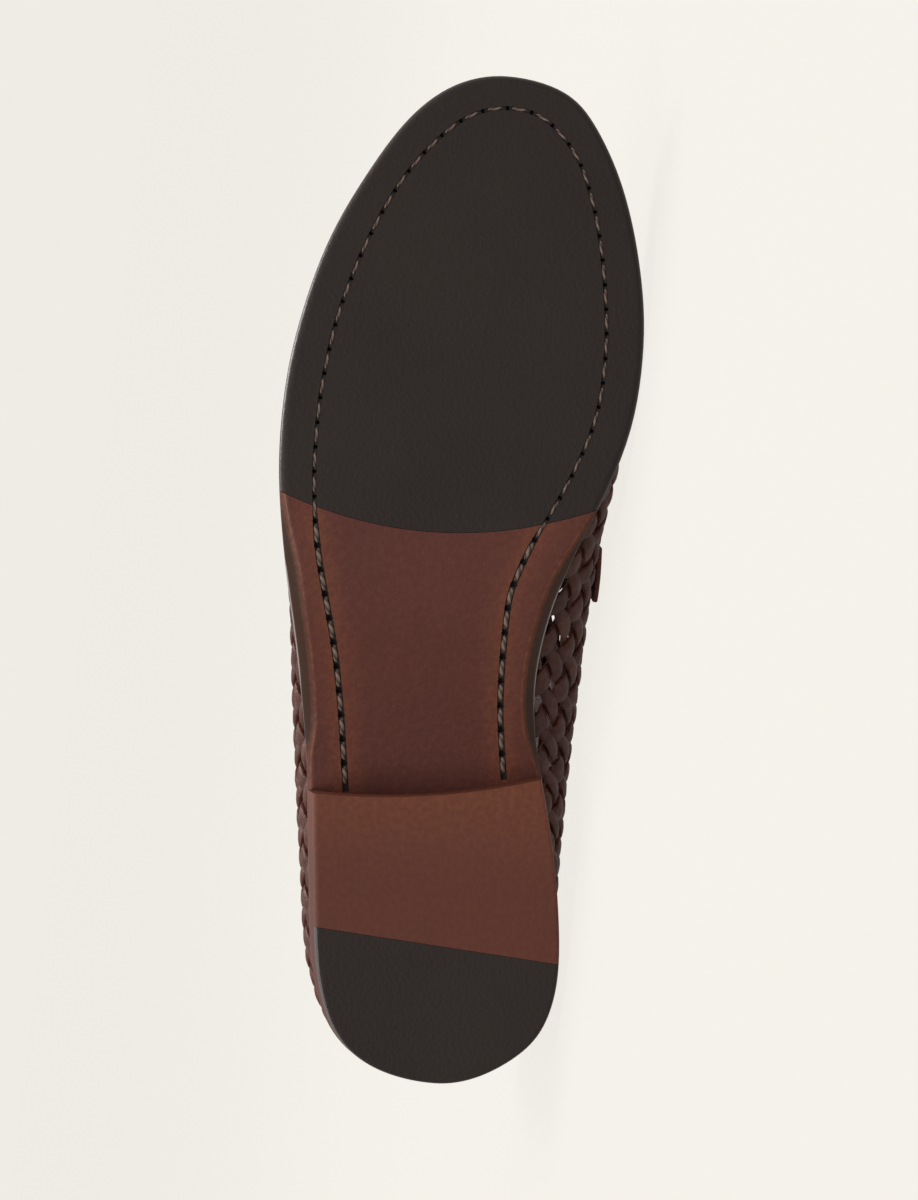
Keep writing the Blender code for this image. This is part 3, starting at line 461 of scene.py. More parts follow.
class UpperShape:
    """The upper's wall round the sole and its apron over the foot.

    A place on the wall is a column and a height. Columns count weave steps from the back of the
    heel round the outer side to the toe and back along the inner side. Heights are measured up
    the wall from the sole.
    """

    fineness = 4
    levels = 60
    apron_taper = 0.45
    throat_samples = 60
    search_columns = 449

    def __init__(self, sizes: ShoeSizes, sole: SoleShape) -> None:
        """Work out the wall's surface on a fine net of columns and levels.

        Args:
            sizes: the shoe's sizes.
            sole: the sole under the wall.
        """
        self.sizes = sizes
        self.sole = sole
        self.count = 2 * sizes.weave_columns
        self._rims = {side: self._loop(RIM, sizes.rim_ends, side) for side in Side}
        columns = np.arange(self.count * self.fineness + 1) / self.fineness
        measured = [self._measured(self._profile(float(column))) for column in columns]
        self._lengths = np.array([length for length, _ in measured])
        self._net = np.array([even for _, even in measured])
        around = np.concatenate((self._net[-2:-1], self._net, self._net[1:2]))
        along = around[2:] - around[:-2]
        up = np.gradient(self._net, axis=1)
        self._normals = unit(np.cross(along, up))
        start, end = sizes.rim_ends
        self.throat_x = start + sizes.throat_share * (sizes.sole_length + end - start)
        self.throat_width = float(sum(self.rim_half(side, self.throat_x) for side in Side))
        self.outer_corner = round(self.column_at(Side.OUTER, self.throat_x))
        self.inner_corner = round(self.column_at(Side.INNER, self.throat_x))

    def _loop(
        self, rows: Sequence[Loop], ends: tuple[float, float], side: Side
    ) -> tuple[np.ndarray, ...]:
        """One side of a loop: shares of its own length, lengths along the shoe and half widths.

        Args:
            rows: the loop's table.
            ends: how far it starts and stops from the sole's ends.
            side: the side of the foot.

        Returns:
            The shares, lengths and half widths.
        """
        along = (1.0 - np.cos(np.linspace(0.0, math.pi, self.sole.samples))) / 2.0
        x = ends[0] + along * (self.sizes.sole_length + ends[1] - ends[0])
        half = table_curve(rows, side.name.lower(), along) * self.sizes.ball_width
        return self._shares(x, half), x, half

    @staticmethod
    def _shares(x: np.ndarray, half: np.ndarray) -> np.ndarray:
        """Shares of the way along a loop."""
        reach = np.concatenate(([0.0], np.cumsum(np.hypot(np.diff(x), np.diff(half)))))
        return reach / reach[-1]

    def _rise(self, rows: Sequence[Loop], ends: tuple[float, float], x: np.ndarray) -> np.ndarray:
        """The rise column of a loop's table at lengths."""
        span = self.sizes.sole_length + ends[1] - ends[0]
        return table_curve(rows, "rise", (np.asarray(x) - ends[0]) / span)

    def _profile(self, column: float) -> np.ndarray:
        """Points up the wall at one column.

        Args:
            column: the column.

        Returns:
            Points from the sole up to the rim.
        """
        sizes = self.sizes
        side = Side.OUTER if column <= sizes.weave_columns else Side.INNER
        share = column / sizes.weave_columns if side is Side.OUTER else 2.0 - column / sizes.weave_columns
        feather_x, feather_half = self.sole.outline(side, sizes.feather_inset)
        loops = [
            (self._shares(feather_x, feather_half), feather_x, feather_half),
            self._loop(BELLY, sizes.belly_ends, side),
            self._loop(SHOULDER, sizes.shoulder_ends, side),
            self._rims[side],
        ]
        x = [float(np.interp(share, loop[0], loop[1])) for loop in loops]
        y = [side.value * float(np.interp(share, loop[0], loop[2])) for loop in loops]
        foot = float(self.sole.top(x[0])) + sizes.seat
        head = float(self.rim_height(x[3]))
        belly = foot + float(self._rise(BELLY, sizes.belly_ends, x[1])) * (head - foot)
        shoulder = foot + float(self._rise(SHOULDER, sizes.shoulder_ends, x[2])) * (head - foot)
        pulls = np.array(list(zip(x, y, (foot, belly, shoulder, head))))
        t = np.linspace(0.0, 1.0, self.levels + 1)[:, None]
        return (
            (1 - t) ** 3 * pulls[0]
            + 3 * (1 - t) ** 2 * t * pulls[1]
            + 3 * (1 - t) * t**2 * pulls[2]
            + t**3 * pulls[3]
        )

    def _measured(self, points: np.ndarray) -> tuple[float, np.ndarray]:
        """Length of a line up the wall, and the line again with even steps.

        Args:
            points: points up the wall.

        Returns:
            The length and the even points.
        """
        reach = reach_along(points)
        even = np.linspace(0.0, reach[-1], self.levels + 1)
        return reach[-1], np.column_stack([np.interp(even, reach, points[:, i]) for i in range(3)])

    def rim_half(self, side: Side, x: np.ndarray | float) -> np.ndarray:
        """Half width of the rim at lengths."""
        return np.interp(x, self._rims[side][1], self._rims[side][2])

    def rim_height(self, x: np.ndarray | float) -> np.ndarray:
        """Height of the rim above the floor at lengths.

        Args:
            x: lengths along the shoe.

        Returns:
            The heights.
        """
        sizes = self.sizes
        share = self._rise(RIM, sizes.rim_ends, x)
        return self.sole.top(x) + sizes.toe_height + (sizes.collar_height - sizes.toe_height) * share

    def column_at(self, side: Side, x: float) -> float:
        """Column whose rim is at a length."""
        share = float(np.interp(x, self._rims[side][1], self._rims[side][0]))
        return (share if side is Side.OUTER else 2.0 - share) * self.sizes.weave_columns

    def wall_length(self, column: np.ndarray | float) -> np.ndarray:
        """Length up the wall from the sole to the rim."""
        place = np.mod(column, self.count) * self.fineness
        return np.interp(place, np.arange(len(self._lengths)), self._lengths)

    def _read(self, net: np.ndarray, column: np.ndarray, height: np.ndarray) -> np.ndarray:
        """Read a net of the wall between its points.

        Args:
            net: points or directions, by column and level.
            column: columns.
            height: heights up the wall.

        Returns:
            The values there.
        """
        column, height = np.broadcast_arrays(np.asarray(column, dtype=float), np.asarray(height, dtype=float))
        across = np.mod(column, self.count) * self.fineness
        up = np.clip(height / self.wall_length(column), 0.0, 1.0) * self.levels
        i = np.clip(across.astype(int), 0, net.shape[0] - 2)
        j = np.clip(up.astype(int), 0, net.shape[1] - 2)
        s, t = (across - i)[..., None], (up - j)[..., None]
        low = net[i, j] * (1 - s) + net[i + 1, j] * s
        high = net[i, j + 1] * (1 - s) + net[i + 1, j + 1] * s
        return low * (1 - t) + high * t

    def wall(self, column: np.ndarray, height: np.ndarray, lift: np.ndarray | float = 0.0) -> np.ndarray:
        """Points on the wall, lifted off its smooth outer face.

        Args:
            column: columns.
            height: heights up the wall.
            lift: distances off the face.

        Returns:
            The points.
        """
        point = self._read(self._net, column, height)
        below = np.minimum(np.asarray(height, dtype=float), 0.0)
        point = point + np.multiply.outer(below, np.array((0.0, 0.0, 1.0)))
        return point + self.wall_normal(column, height) * np.asarray(lift, dtype=float)[..., None]

    def wall_normal(self, column: np.ndarray, height: np.ndarray) -> np.ndarray:
        """Directions out of the wall."""
        return unit(self._read(self._normals, column, height))

    def seam_share(self, column: np.ndarray) -> np.ndarray:
        """1 where the rim is the apron's seam and 0 where it is the collar."""
        past_outer = smoothstep(self.outer_corner - 1, self.outer_corner + 1, column)
        return past_outer - smoothstep(self.inner_corner - 1, self.inner_corner + 1, column)

    def apron_smooth(self, x: np.ndarray, y: np.ndarray) -> np.ndarray:
        """Points on the apron's smooth outer face.

        Args:
            x: lengths along the shoe.
            y: sideways places.

        Returns:
            The points.
        """
        inner, outer = self.rim_half(Side.INNER, x), -self.rim_half(Side.OUTER, x)
        width = np.maximum(inner - outer, MM)
        share = np.clip((y - outer) / width, 0.0, 1.0)
        fullness = np.minimum((width / self.throat_width) ** 2, 1.0)
        taper = 1.0 - self.apron_taper * smoothstep(self.throat_x, self.sizes.sole_length, x)
        crown = self.sizes.apron_crown * fullness * taper
        return np.stack((x, y, self.rim_height(x) + crown * 4.0 * share * (1.0 - share)), axis=-1)

    def apron_normal(self, x: np.ndarray, y: np.ndarray) -> np.ndarray:
        """Directions out of the apron.

        Args:
            x: lengths along the shoe.
            y: sideways places.

        Returns:
            The directions.
        """
        along = self.apron_smooth(x + MM, y) - self.apron_smooth(x - MM, y)
        across = self.apron_smooth(x, y + MM) - self.apron_smooth(x, y - MM)
        return unit(np.cross(along, across))

    def apron(self, x: np.ndarray, y: np.ndarray, lift: np.ndarray | float = 0.0) -> np.ndarray:
        """Points on the apron, lifted off its smooth outer face."""
        x, y = np.broadcast_arrays(np.asarray(x, dtype=float), np.asarray(y, dtype=float))
        return self.apron_smooth(x, y) + self.apron_normal(x, y) * np.asarray(lift, dtype=float)[..., None]

    def throat(self, share: np.ndarray) -> tuple[np.ndarray, np.ndarray]:
        """Places in plan on the apron's bowed rear edge, from its outer to its inner corner.

        Args:
            share: shares of the way across.

        Returns:
            Lengths and sideways places.
        """
        corners = np.array([self.outer_corner, self.inner_corner], dtype=float)
        outer, inner = self.wall(corners, self.wall_length(corners))
        place = outer + np.multiply.outer(np.asarray(share, dtype=float), inner - outer)
        bow = self.sizes.throat_bow * np.sin(math.pi * np.asarray(share)) ** 2
        return place[..., 0] - bow, place[..., 1]

    def throat_x_at(self, y: np.ndarray) -> np.ndarray:
        """Length of the throat's edge at sideways places."""
        x, across = self.throat(np.linspace(0.0, 1.0, self.throat_samples))
        return np.interp(y, across, x)

    def x_through(self, side: Side, level: np.ndarray, x: np.ndarray) -> np.ndarray:
        """Column that passes lengths at shares of the wall's height.

        Args:
            side: the side of the foot.
            level: shares of the wall's height.
            x: lengths, one for each share.

        Returns:
            The columns.
        """
        columns = np.linspace(0.0, self.sizes.weave_columns, self.search_columns)
        columns = columns if side is Side.OUTER else self.count - columns
        found = []
        for share, length in zip(level, x):
            along = self.wall(columns, share * self.wall_length(columns))[:, 0]
            found.append(float(np.interp(length, along, columns)))
        return np.array(found)


def smooth_path(points: np.ndarray, count: int, closed: bool = False) -> np.ndarray:
    """Pass a smooth curve through points and step evenly along it.

    Args:
        points: rows of coordinates.
        count: points wanted.
        closed: whether the curve comes back to its start, which is then not repeated.

    Returns:
        The even points.
    """
    knots = np.concatenate((points[-1:], points, points[:2])) if closed else np.concatenate(
        (2 * points[:1] - points[1:2], points, 2 * points[-1:] - points[-2:-1])
    )
    t = np.linspace(0.0, 1.0, SPAN_STEPS + 1)[:-1, None]
    spans = []
    for before, start, end, after in zip(knots, knots[1:], knots[2:], knots[3:]):
        spans.append(
            0.5
            * (
                2 * start
                + (end - before) * t
                + (2 * before - 5 * start + 4 * end - after) * t**2
                + (3 * start - before - 3 * end + after) * t**3
            )
        )
    fine = np.concatenate(spans + [knots[-2:-1]])
    reach = reach_along(fine[:, :3])
    steps = np.linspace(0.0, reach[-1], count + 1)[:-1] if closed else np.linspace(0.0, reach[-1], count)
    return np.column_stack([np.interp(steps, reach, fine[:, i]) for i in range(fine.shape[1])])


def path_length(points: np.ndarray) -> float:
    """Length along a row of points."""
    return float(np.linalg.norm(np.diff(points[:, :3], axis=0), axis=1).sum())


def reach_along(points: np.ndarray) -> np.ndarray:
    """How far each of a row of points is from the first, along the row."""
    return np.concatenate(([0.0], np.cumsum(np.linalg.norm(np.diff(points, axis=0), axis=1))))


def moved(line: Line, amount: float) -> Line:
    """The same line or face, moved by an amount."""
    return lambda places: line(places) + amount


def flat_face(height: float) -> Line:
    """A flat face at a height."""
    return lambda places: np.full(np.shape(places), height)


class Bench:
    """The modelling bench, where pieces are added, laid, joined and finished."""

    merge = 0.00002
    sliver = 0.000002
    bevel_angle = 40.0
    stitch_sides = 8
    stitch_rings = 7
    stitch_spread = 0.8
    stitch_bluntness = 6

    def __init__(self, pose: LyingPose) -> None:
        """Keep the pose in which the shoe lies."""
        self.pose = pose

    @staticmethod
    def pick(*pieces: bpy.types.Object) -> None:
        """Select only these pieces and make the first one active."""
        if bpy.context.mode != "OBJECT":
            bpy.ops.object.mode_set(mode="OBJECT")
        bpy.ops.object.select_all(action="DESELECT")
        for piece in pieces:
            piece.select_set(True)
        if pieces:
            bpy.context.view_layer.objects.active = pieces[0]

    def sheet(
        self,
        name: str,
        points: np.ndarray,
        closed: bool = False,
        capped: bool = False,
        chart: np.ndarray | None = None,
    ) -> bpy.types.Object:
        """Add a grid and lay it over rows of points.

        Args:
            name: the piece's name.
            points: rows of points in the standing shoe, along and then across.
            closed: whether the last point across meets the first, as in a tube or a slab.
            capped: whether the open ends are filled.
            chart: two values for each point, kept in the piece's own map.

        Returns:
            The laid piece.
        """
        if closed:
            points = np.concatenate((points, points[:, :1]), axis=1)
        rows, columns = points.shape[:2]
        self.pick()
        bpy.ops.mesh.primitive_grid_add(x_subdivisions=rows - 1, y_subdivisions=columns - 1, size=1.0)
        piece = bpy.context.object
        piece.name = name
        piece.data.name = name
        flat = np.empty(len(piece.data.vertices) * 3)
        piece.data.vertices.foreach_get("co", flat)
        flat = flat.reshape(-1, 3)
        row = np.rint((flat[:, 0] + 0.5) * (rows - 1)).astype(int)
        column = np.rint((flat[:, 1] + 0.5) * (columns - 1)).astype(int)
        piece.data.vertices.foreach_set("co", self.pose.lay(points[row, column]).ravel())
        piece.data.update()
        if chart is not None:
            if closed:
                chart = np.concatenate((chart, chart[:, :1]), axis=1)
            corners = np.empty(len(piece.data.loops), dtype=np.int32)
            piece.data.loops.foreach_get("vertex_index", corners)
            piece.data.uv_layers[0].data.foreach_set("uv", chart[row, column][corners].ravel())
        if closed:
            self.close(piece, capped)
        return piece

    def close(self, piece: bpy.types.Object, capped: bool) -> None:
        """Merge a piece's seams, fill its open ends and turn its faces outward.

        Args:
            piece: the piece.
            capped: whether open ends are filled.
        """
        self.pick(piece)
        bpy.ops.object.mode_set(mode="EDIT")
        bpy.ops.mesh.select_all(action="SELECT")
        bpy.ops.mesh.remove_doubles(threshold=self.merge)
        if capped:
            bpy.ops.mesh.fill_holes(sides=0)
        bpy.ops.mesh.select_all(action="SELECT")
        bpy.ops.mesh.normals_make_consistent(inside=False)
        bpy.ops.object.mode_set(mode="OBJECT")

    def join(self, name: str, pieces: Sequence[bpy.types.Object]) -> bpy.types.Object:
        """Join pieces into the first one.

        Args:
            name: the joined piece's name.
            pieces: the pieces.

        Returns:
            The joined piece.
        """
        self.pick(*pieces)
        bpy.ops.object.join()
        joined = bpy.context.object
        joined.name = name
        joined.data.name = name
        return joined

    def apply(self, piece: bpy.types.Object, kind: str, **settings: object) -> None:
        """Put a modifier on a piece, set it and apply it.

        Args:
            piece: the piece.
            kind: the modifier's type.
            settings: the modifier's settings.
        """
        self.pick(piece)
        modifier = piece.modifiers.new(kind.lower(), kind)
        for setting, value in settings.items():
            setattr(modifier, setting, value)
        bpy.ops.object.modifier_apply(modifier=modifier.name)

    def carve(self, piece: bpy.types.Object, cutter: bpy.types.Object) -> None:
        """Cut one piece's shape out of another and clear away what is left too thin.

        Args:
            piece: the piece that is cut.
            cutter: the shape that is cut out, which is used up.
        """
        self.apply(piece, "BOOLEAN", operation="DIFFERENCE", solver="EXACT", use_self=True, object=cutter)
        bpy.data.objects.remove(cutter)
        self.pick(piece)
        bpy.ops.object.mode_set(mode="EDIT")
        bpy.ops.mesh.select_all(action="SELECT")
        bpy.ops.mesh.dissolve_degenerate(threshold=self.sliver)
        bpy.ops.object.mode_set(mode="OBJECT")
        piece.data.validate()

    def thicken(self, piece: bpy.types.Object, thickness: float) -> None:
        """Give a sheet its thickness inward, with its second material on the cut edges."""
        self.apply(piece, "SOLIDIFY", thickness=thickness, offset=-1.0, material_offset_rim=1)

    def round_edges(self, piece: bpy.types.Object, width: float, segments: int) -> None:
        """Round the sharp edges of a piece."""
        limit = math.radians(self.bevel_angle)
        self.apply(piece, "BEVEL", width=width, segments=segments, limit_method="ANGLE", angle_limit=limit)

    def smooth(self, piece: bpy.types.Object, angle: float) -> None:
        """Shade a piece smooth between its sharp edges."""
        self.pick(piece)
        bpy.ops.object.shade_smooth_by_angle(angle=math.radians(angle))

    def mark(self, piece: bpy.types.Object, name: str, value: float) -> None:
        """Give all of a piece's vertices one value under a name."""
        store = piece.data.attributes.new(name, "FLOAT", "POINT")
        store.data.foreach_set("value", np.full(len(piece.data.vertices), value))

    def tube(
        self, name: str, line: np.ndarray, first: np.ndarray, second: np.ndarray, sides: int, ring: bool
    ) -> bpy.types.Object:
        """Lay a tube along a line.

        Args:
            name: the piece's name.
            line: centres of its rings.
            first: from each centre to the tube's side, one radius long.
            second: from each centre at a right angle to the first, one radius long.
            sides: sides of the tube.
            ring: whether the tube comes back to its start.

        Returns:
            The tube.
        """
        angle = np.linspace(0.0, 2.0 * math.pi, sides, endpoint=False)[None, :, None]
        points = line[:, None] + first[:, None] * np.cos(angle) + second[:, None] * np.sin(angle)
        if ring:
            points = np.concatenate((points, points[:1]))
        return self.sheet(name, points, closed=True, capped=not ring)

    def beads(self, name: str, places: Sequence["Bead"]) -> bpy.types.Object:
        """Model one stitch and copy it to every place.

        Args:
            name: the name of the joined stitches.
            places: where the stitches lie.

        Returns:
            All stitches as one piece.
        """
        self.pick()
        sides, rings = self.stitch_sides, self.stitch_rings
        bpy.ops.mesh.primitive_uv_sphere_add(segments=sides, ring_count=rings, radius=1.0)
        model = bpy.context.object
        shape = np.empty(len(model.data.vertices) * 3)
        model.data.vertices.foreach_get("co", shape)
        shape = shape.reshape(-1, 3)
        along = np.sign(shape[:, 2]) * np.abs(shape[:, 2]) ** self.stitch_spread
        girth = (1.0 - along**self.stitch_bluntness)[:, None]
        round_part = shape[:, :2] / np.maximum(np.linalg.norm(shape[:, :2], axis=1, keepdims=True), POLE)
        pieces = []
        for bead in places:
            copy = model.copy()
            copy.data = model.data.copy()
            bpy.context.scene.collection.objects.link(copy)
            side = np.cross(bead.out, bead.run)
            sag = -(along**2) * bead.dip
            points = (
                bead.centre
                + np.outer(along, bead.run * bead.half)
                + (round_part * girth) @ np.array((side * bead.width, bead.out * bead.width))
                + np.outer(sag, bead.out)
            )
            copy.data.vertices.foreach_set("co", self.pose.lay(points).ravel())
            copy.data.update()
            pieces.append(copy)
        bpy.data.objects.remove(model)
        joined = self.join(name, pieces)
        self.close(joined, capped=False)
        self.smooth(joined, ROUND_ANGLE)
        return joined


@dataclass(frozen=True)
class Bead:
    """One stitch: where it lies and how large it is."""

    centre: np.ndarray
    run: np.ndarray
    out: np.ndarray
    half: float
    width: float
    dip: float


Value = Union[float, tuple, "Signal"]


class Signal:
    """An output of a shader node that can be used in sums and products."""

    def __init__(self, recipe: "Recipe", socket: bpy.types.NodeSocket) -> None:
        """Keep the recipe that the output belongs to."""
        self.recipe = recipe
        self.socket = socket

    def _sum(self, operation: str, *values: object) -> "Signal":
        """One Math node on up to three values."""
        return self.recipe.node("ShaderNodeMath", {"operation": operation}, dict(enumerate(values)))

    def __add__(self, other: object) -> "Signal":
        """Add."""
        return self._sum("ADD", self, other)

    def __radd__(self, other: object) -> "Signal":
        """Add to a number."""
        return self._sum("ADD", other, self)

    def __sub__(self, other: object) -> "Signal":
        """Take away."""
        return self._sum("SUBTRACT", self, other)

    def __rsub__(self, other: object) -> "Signal":
        """Take away from a number."""
        return self._sum("SUBTRACT", other, self)

    def __mul__(self, other: object) -> "Signal":
        """Multiply."""
        return self._sum("MULTIPLY", self, other)

    def __rmul__(self, other: object) -> "Signal":
        """Multiply a number."""
        return self._sum("MULTIPLY", other, self)

    def __truediv__(self, other: object) -> "Signal":
        """Divide."""
        return self._sum("DIVIDE", self, other)

    def __rtruediv__(self, other: object) -> "Signal":
        """Divide a number."""
        return self._sum("DIVIDE", other, self)

    def size(self) -> "Signal":
        """The value without its sign."""
        return self._sum("ABSOLUTE", self)

    def wave(self) -> "Signal":
        """The sine of the value."""
        return self._sum("SINE", self)

    def lesser(self, other: object) -> "Signal":
        """The smaller of two values."""
        return self._sum("MINIMUM", self, other)

    def ramp(self, low: float, high: float) -> "Signal":
        """Rise smoothly from 0 at low to 1 at high.

        Args:
            low: where it leaves 0.
            high: where it reaches 1.

        Returns:
            The ramp.
        """
        settings = {"interpolation_type": "SMOOTHSTEP", "clamp": True}
        rising = {"Value": self, "From Min": min(low, high), "From Max": max(low, high)}
        risen = self.recipe.node("ShaderNodeMapRange", settings, rising)
        return risen if low < high else 1.0 - risen


def shade(red: int, green: int, blue: int) -> tuple[float, float, float, float]:
    """Turn a colour as seen on a screen into the shader's own scale.

    Args:
        red: red, from 0 to 255.
        green: green.
        blue: blue.

    Returns:
        Red, green, blue and an alpha of 1.
    """
    values = [value / SCREEN_LEVELS for value in (red, green, blue)]
    linear = [
        v / SCREEN_SLOPE if v <= SCREEN_DARK else ((v + SCREEN_LIFT) / (1.0 + SCREEN_LIFT)) ** SCREEN_POWER
        for v in values
    ]
    return (*linear, 1.0)


class Grain(NamedTuple):
    """A cloudy pattern: its scale and detail, and the values at which it starts and is full."""

    scale: float
    detail: float
    low: float
    high: float


class Recipe:
    """A material that is being mixed from nodes."""

    colours = (6, 7)
    blended = 2
    coat_roughness = 0.2

    def __init__(self, name: str, pose: LyingPose) -> None:
        """Start a material with its shader and the shoe's own coordinates.

        Args:
            name: the material's name.
            pose: how the shoe lies.
        """
        self.material = bpy.data.materials.new(name)
        self.material.use_nodes = True
        self.tree = self.material.node_tree
        self.shader = self.tree.nodes["Principled BSDF"]
        back = Matrix(pose.turn.T.tolist())
        where = self.node("ShaderNodeTexCoord", out="Object")
        self.place = self.node(
            "ShaderNodeMapping",
            {"vector_type": "POINT"},
            {
                "Vector": where,
                "Location": tuple(-(back @ Vector(pose.shift))),
                "Rotation": tuple(back.to_euler("XYZ")),
            },
        )

    def node(
        self, kind: str, settings: dict | None = None, inputs: dict | None = None, out: str | int = 0
    ) -> Signal:
        """Add any node.

        Args:
            kind: the node's type.
            settings: its own settings, which are set first.
            inputs: values and signals for its sockets, by name or number.
            out: the name or number of the output wanted.

        Returns:
            That output.
        """
        made = self.tree.nodes.new(kind)
        for setting, value in (settings or {}).items():
            setattr(made, setting, value)
        for socket, value in (inputs or {}).items():
            if isinstance(value, Signal):
                self.tree.links.new(value.socket, made.inputs[socket])
            else:
                made.inputs[socket].default_value = value
        return Signal(self, made.outputs[out])

    def parts(self, vector: Signal) -> tuple[Signal, Signal, Signal]:
        """The three coordinates of a vector."""
        apart = self.node("ShaderNodeSeparateXYZ", inputs={"Vector": vector})
        return tuple(Signal(self, apart.socket.node.outputs[i]) for i in range(3))

    def noise(self, scale: float, detail: float) -> Signal:
        """Cloudy noise from 0 to 1, with its patches about one part of the scale across."""
        inputs = {"Vector": self.place, "Scale": scale, "Detail": detail}
        return self.node("ShaderNodeTexNoise", inputs=inputs)

    def grain(self, grain: Grain) -> Signal:
        """Cloudy noise that starts and is full at a grain's own values."""
        return self.noise(grain.scale, grain.detail).ramp(grain.low, grain.high)

    def cells(self, scale: float, feature: str = "F1") -> Signal:
        """Distance to the nearest of many scattered points, or to the borders between them."""
        return self.node("ShaderNodeTexVoronoi", {"feature": feature}, {"Vector": self.place, "Scale": scale})

    def mix(self, share: Value, first: Value, second: Value) -> Signal:
        """Blend two colours."""
        inputs = {0: share, self.colours[0]: first, self.colours[1]: second}
        return self.node("ShaderNodeMix", {"data_type": "RGBA"}, inputs, out=self.blended)

    def read(self, name: str) -> Signal:
        """A value stored on the piece's vertices."""
        return self.node("ShaderNodeAttribute", {"attribute_name": name}, out="Fac")

    def map_place(self) -> tuple[Signal, Signal]:
        """The piece's own map, along and across."""
        along, across, _ = self.parts(self.node("ShaderNodeTexCoord", out="UV"))
        return along, across

    def gloss(self, level: float) -> None:
        """Set how strongly the whole surface mirrors light."""
        self.shader.inputs["Specular IOR Level"].default_value = level

    def coat(self, weight: Signal) -> None:
        """Lay clear polish over the surface as thickly as the weight says."""
        self.tree.links.new(weight.socket, self.shader.inputs["Coat Weight"])
        self.shader.inputs["Coat Roughness"].default_value = self.coat_roughness

    def finish(self, colour: Value, roughness: Value, height: Signal, depth: float) -> bpy.types.Material:
        """Feed the shader and hand the material over.

        Args:
            colour: the base colour.
            roughness: the roughness.
            height: relief from 0 to 1.
            depth: how deep the relief is, in metres.

        Returns:
            The finished material.
        """
        bump = self.node("ShaderNodeBump", inputs={"Height": height, "Distance": depth, "Strength": 1.0})
        feeds = {"Base Color": colour, "Roughness": roughness, "Normal": bump}
        for socket, value in feeds.items():
            if isinstance(value, Signal):
                self.tree.links.new(value.socket, self.shader.inputs[socket])
            else:
                self.shader.inputs[socket].default_value = value
        return self.material


@dataclass(frozen=True)
class SoleLeatherFinish:
    """Polished brown sole leather, rubbed bright beside the seam and waxed dark at its edge, with painted
    highlight on its side wall and lower edge.
    """

    colour: tuple = shade(94, 50, 43)
    deep: tuple = shade(82, 41, 36)
    bright: tuple = shade(124, 78, 64)
    glow: tuple = shade(126, 70, 42)
    margin: float = 0.05
    wax_span: tuple[float, float] = (0.10, 0.50)
    lines_at: tuple[float, float] = (0.10, 0.36)
    line_width: float = 0.014
    lip_span: tuple[float, float] = (0.94, 0.99)
    highlight_span: tuple[float, float] = (0.90, 0.95)
    highlight_end: float = 0.98
    coat_span: tuple[float, float] = (0.80, 0.97)
    wax: tuple = shade(50, 38, 29)
    burnish: tuple = shade(150, 114, 96)
    # Colour of the side wall: partly the polished edge's own tone, partly painted highlight
    lip: tuple = shade(116, 100, 95)
    # Colour of the painted highlight line along the sole's lower edge
    rubbed_and_highlight: tuple = shade(172, 162, 162)
    roughness: float = 0.46
    clouds: Grain = Grain(18.0, 4.0, 0.30, 0.72)
    fibres: Grain = Grain(620.0, 4.0, 0.34, 0.70)
    specks: Grain = Grain(1700.0, 2.0, 0.56, 0.74)
    pores_scale: float = 1300.0
    pores_span: tuple[float, float] = (0.0, 0.55)
    gloss: float = 0.26
    depth: float = 0.00005

    def make(self, pose: LyingPose) -> bpy.types.Material:
        """Mix the material.

        Args:
            pose: how the shoe lies.

        Returns:
            The material.
        """
        mix = Recipe("sole_leather", pose)
        edge, seam = mix.map_place()
        clouds = mix.grain(self.clouds)
        fibres = mix.grain(self.fibres)
        specks = mix.grain(self.specks)
        margin = edge.ramp(0.0, self.margin)
        colour = mix.mix(clouds * 0.45, self.colour, self.deep)
        glowing = (seam * 0.60 + margin * 0.50).lesser(1.0) * (0.45 + fibres * 0.55)
        colour = mix.mix(glowing, colour, self.glow)
        colour = mix.mix(fibres * 0.14, colour, self.bright)
        colour = mix.mix(specks * (0.20 + seam * 0.30), colour, self.bright)
        waxed = edge.ramp(*self.wax_span) * (0.72 + clouds * 0.20)
        colour = mix.mix(waxed, colour, self.wax)
        strong, weak = ((edge - at).size().ramp(self.line_width, 0.0) for at in self.lines_at)
        lines = strong * 0.80 + weak * 0.35
        colour = mix.mix(lines * fibres, colour, self.burnish)
        # Side wall turned paler: partly the polished edge's own tone, partly painted highlight
        colour = mix.mix(edge.ramp(*self.lip_span) * 0.60, colour, self.lip)
        # Painted highlight: a thin pale line along the sole's lower edge
        colour = mix.mix(edge.ramp(*self.highlight_span) * edge.ramp(1.0, self.highlight_end) * 0.75, colour, self.rubbed_and_highlight)
        pores = mix.cells(self.pores_scale).ramp(*self.pores_span)
        relief = (pores * 0.4 + fibres * 0.6) * (1.0 - edge * 0.8)
        roughness = self.roughness + clouds * 0.08 - fibres * 0.06 - edge * 0.18
        mix.gloss(self.gloss)
        mix.coat(edge.ramp(*self.coat_span) * 0.8)
        return mix.finish(colour, roughness, relief, self.depth)


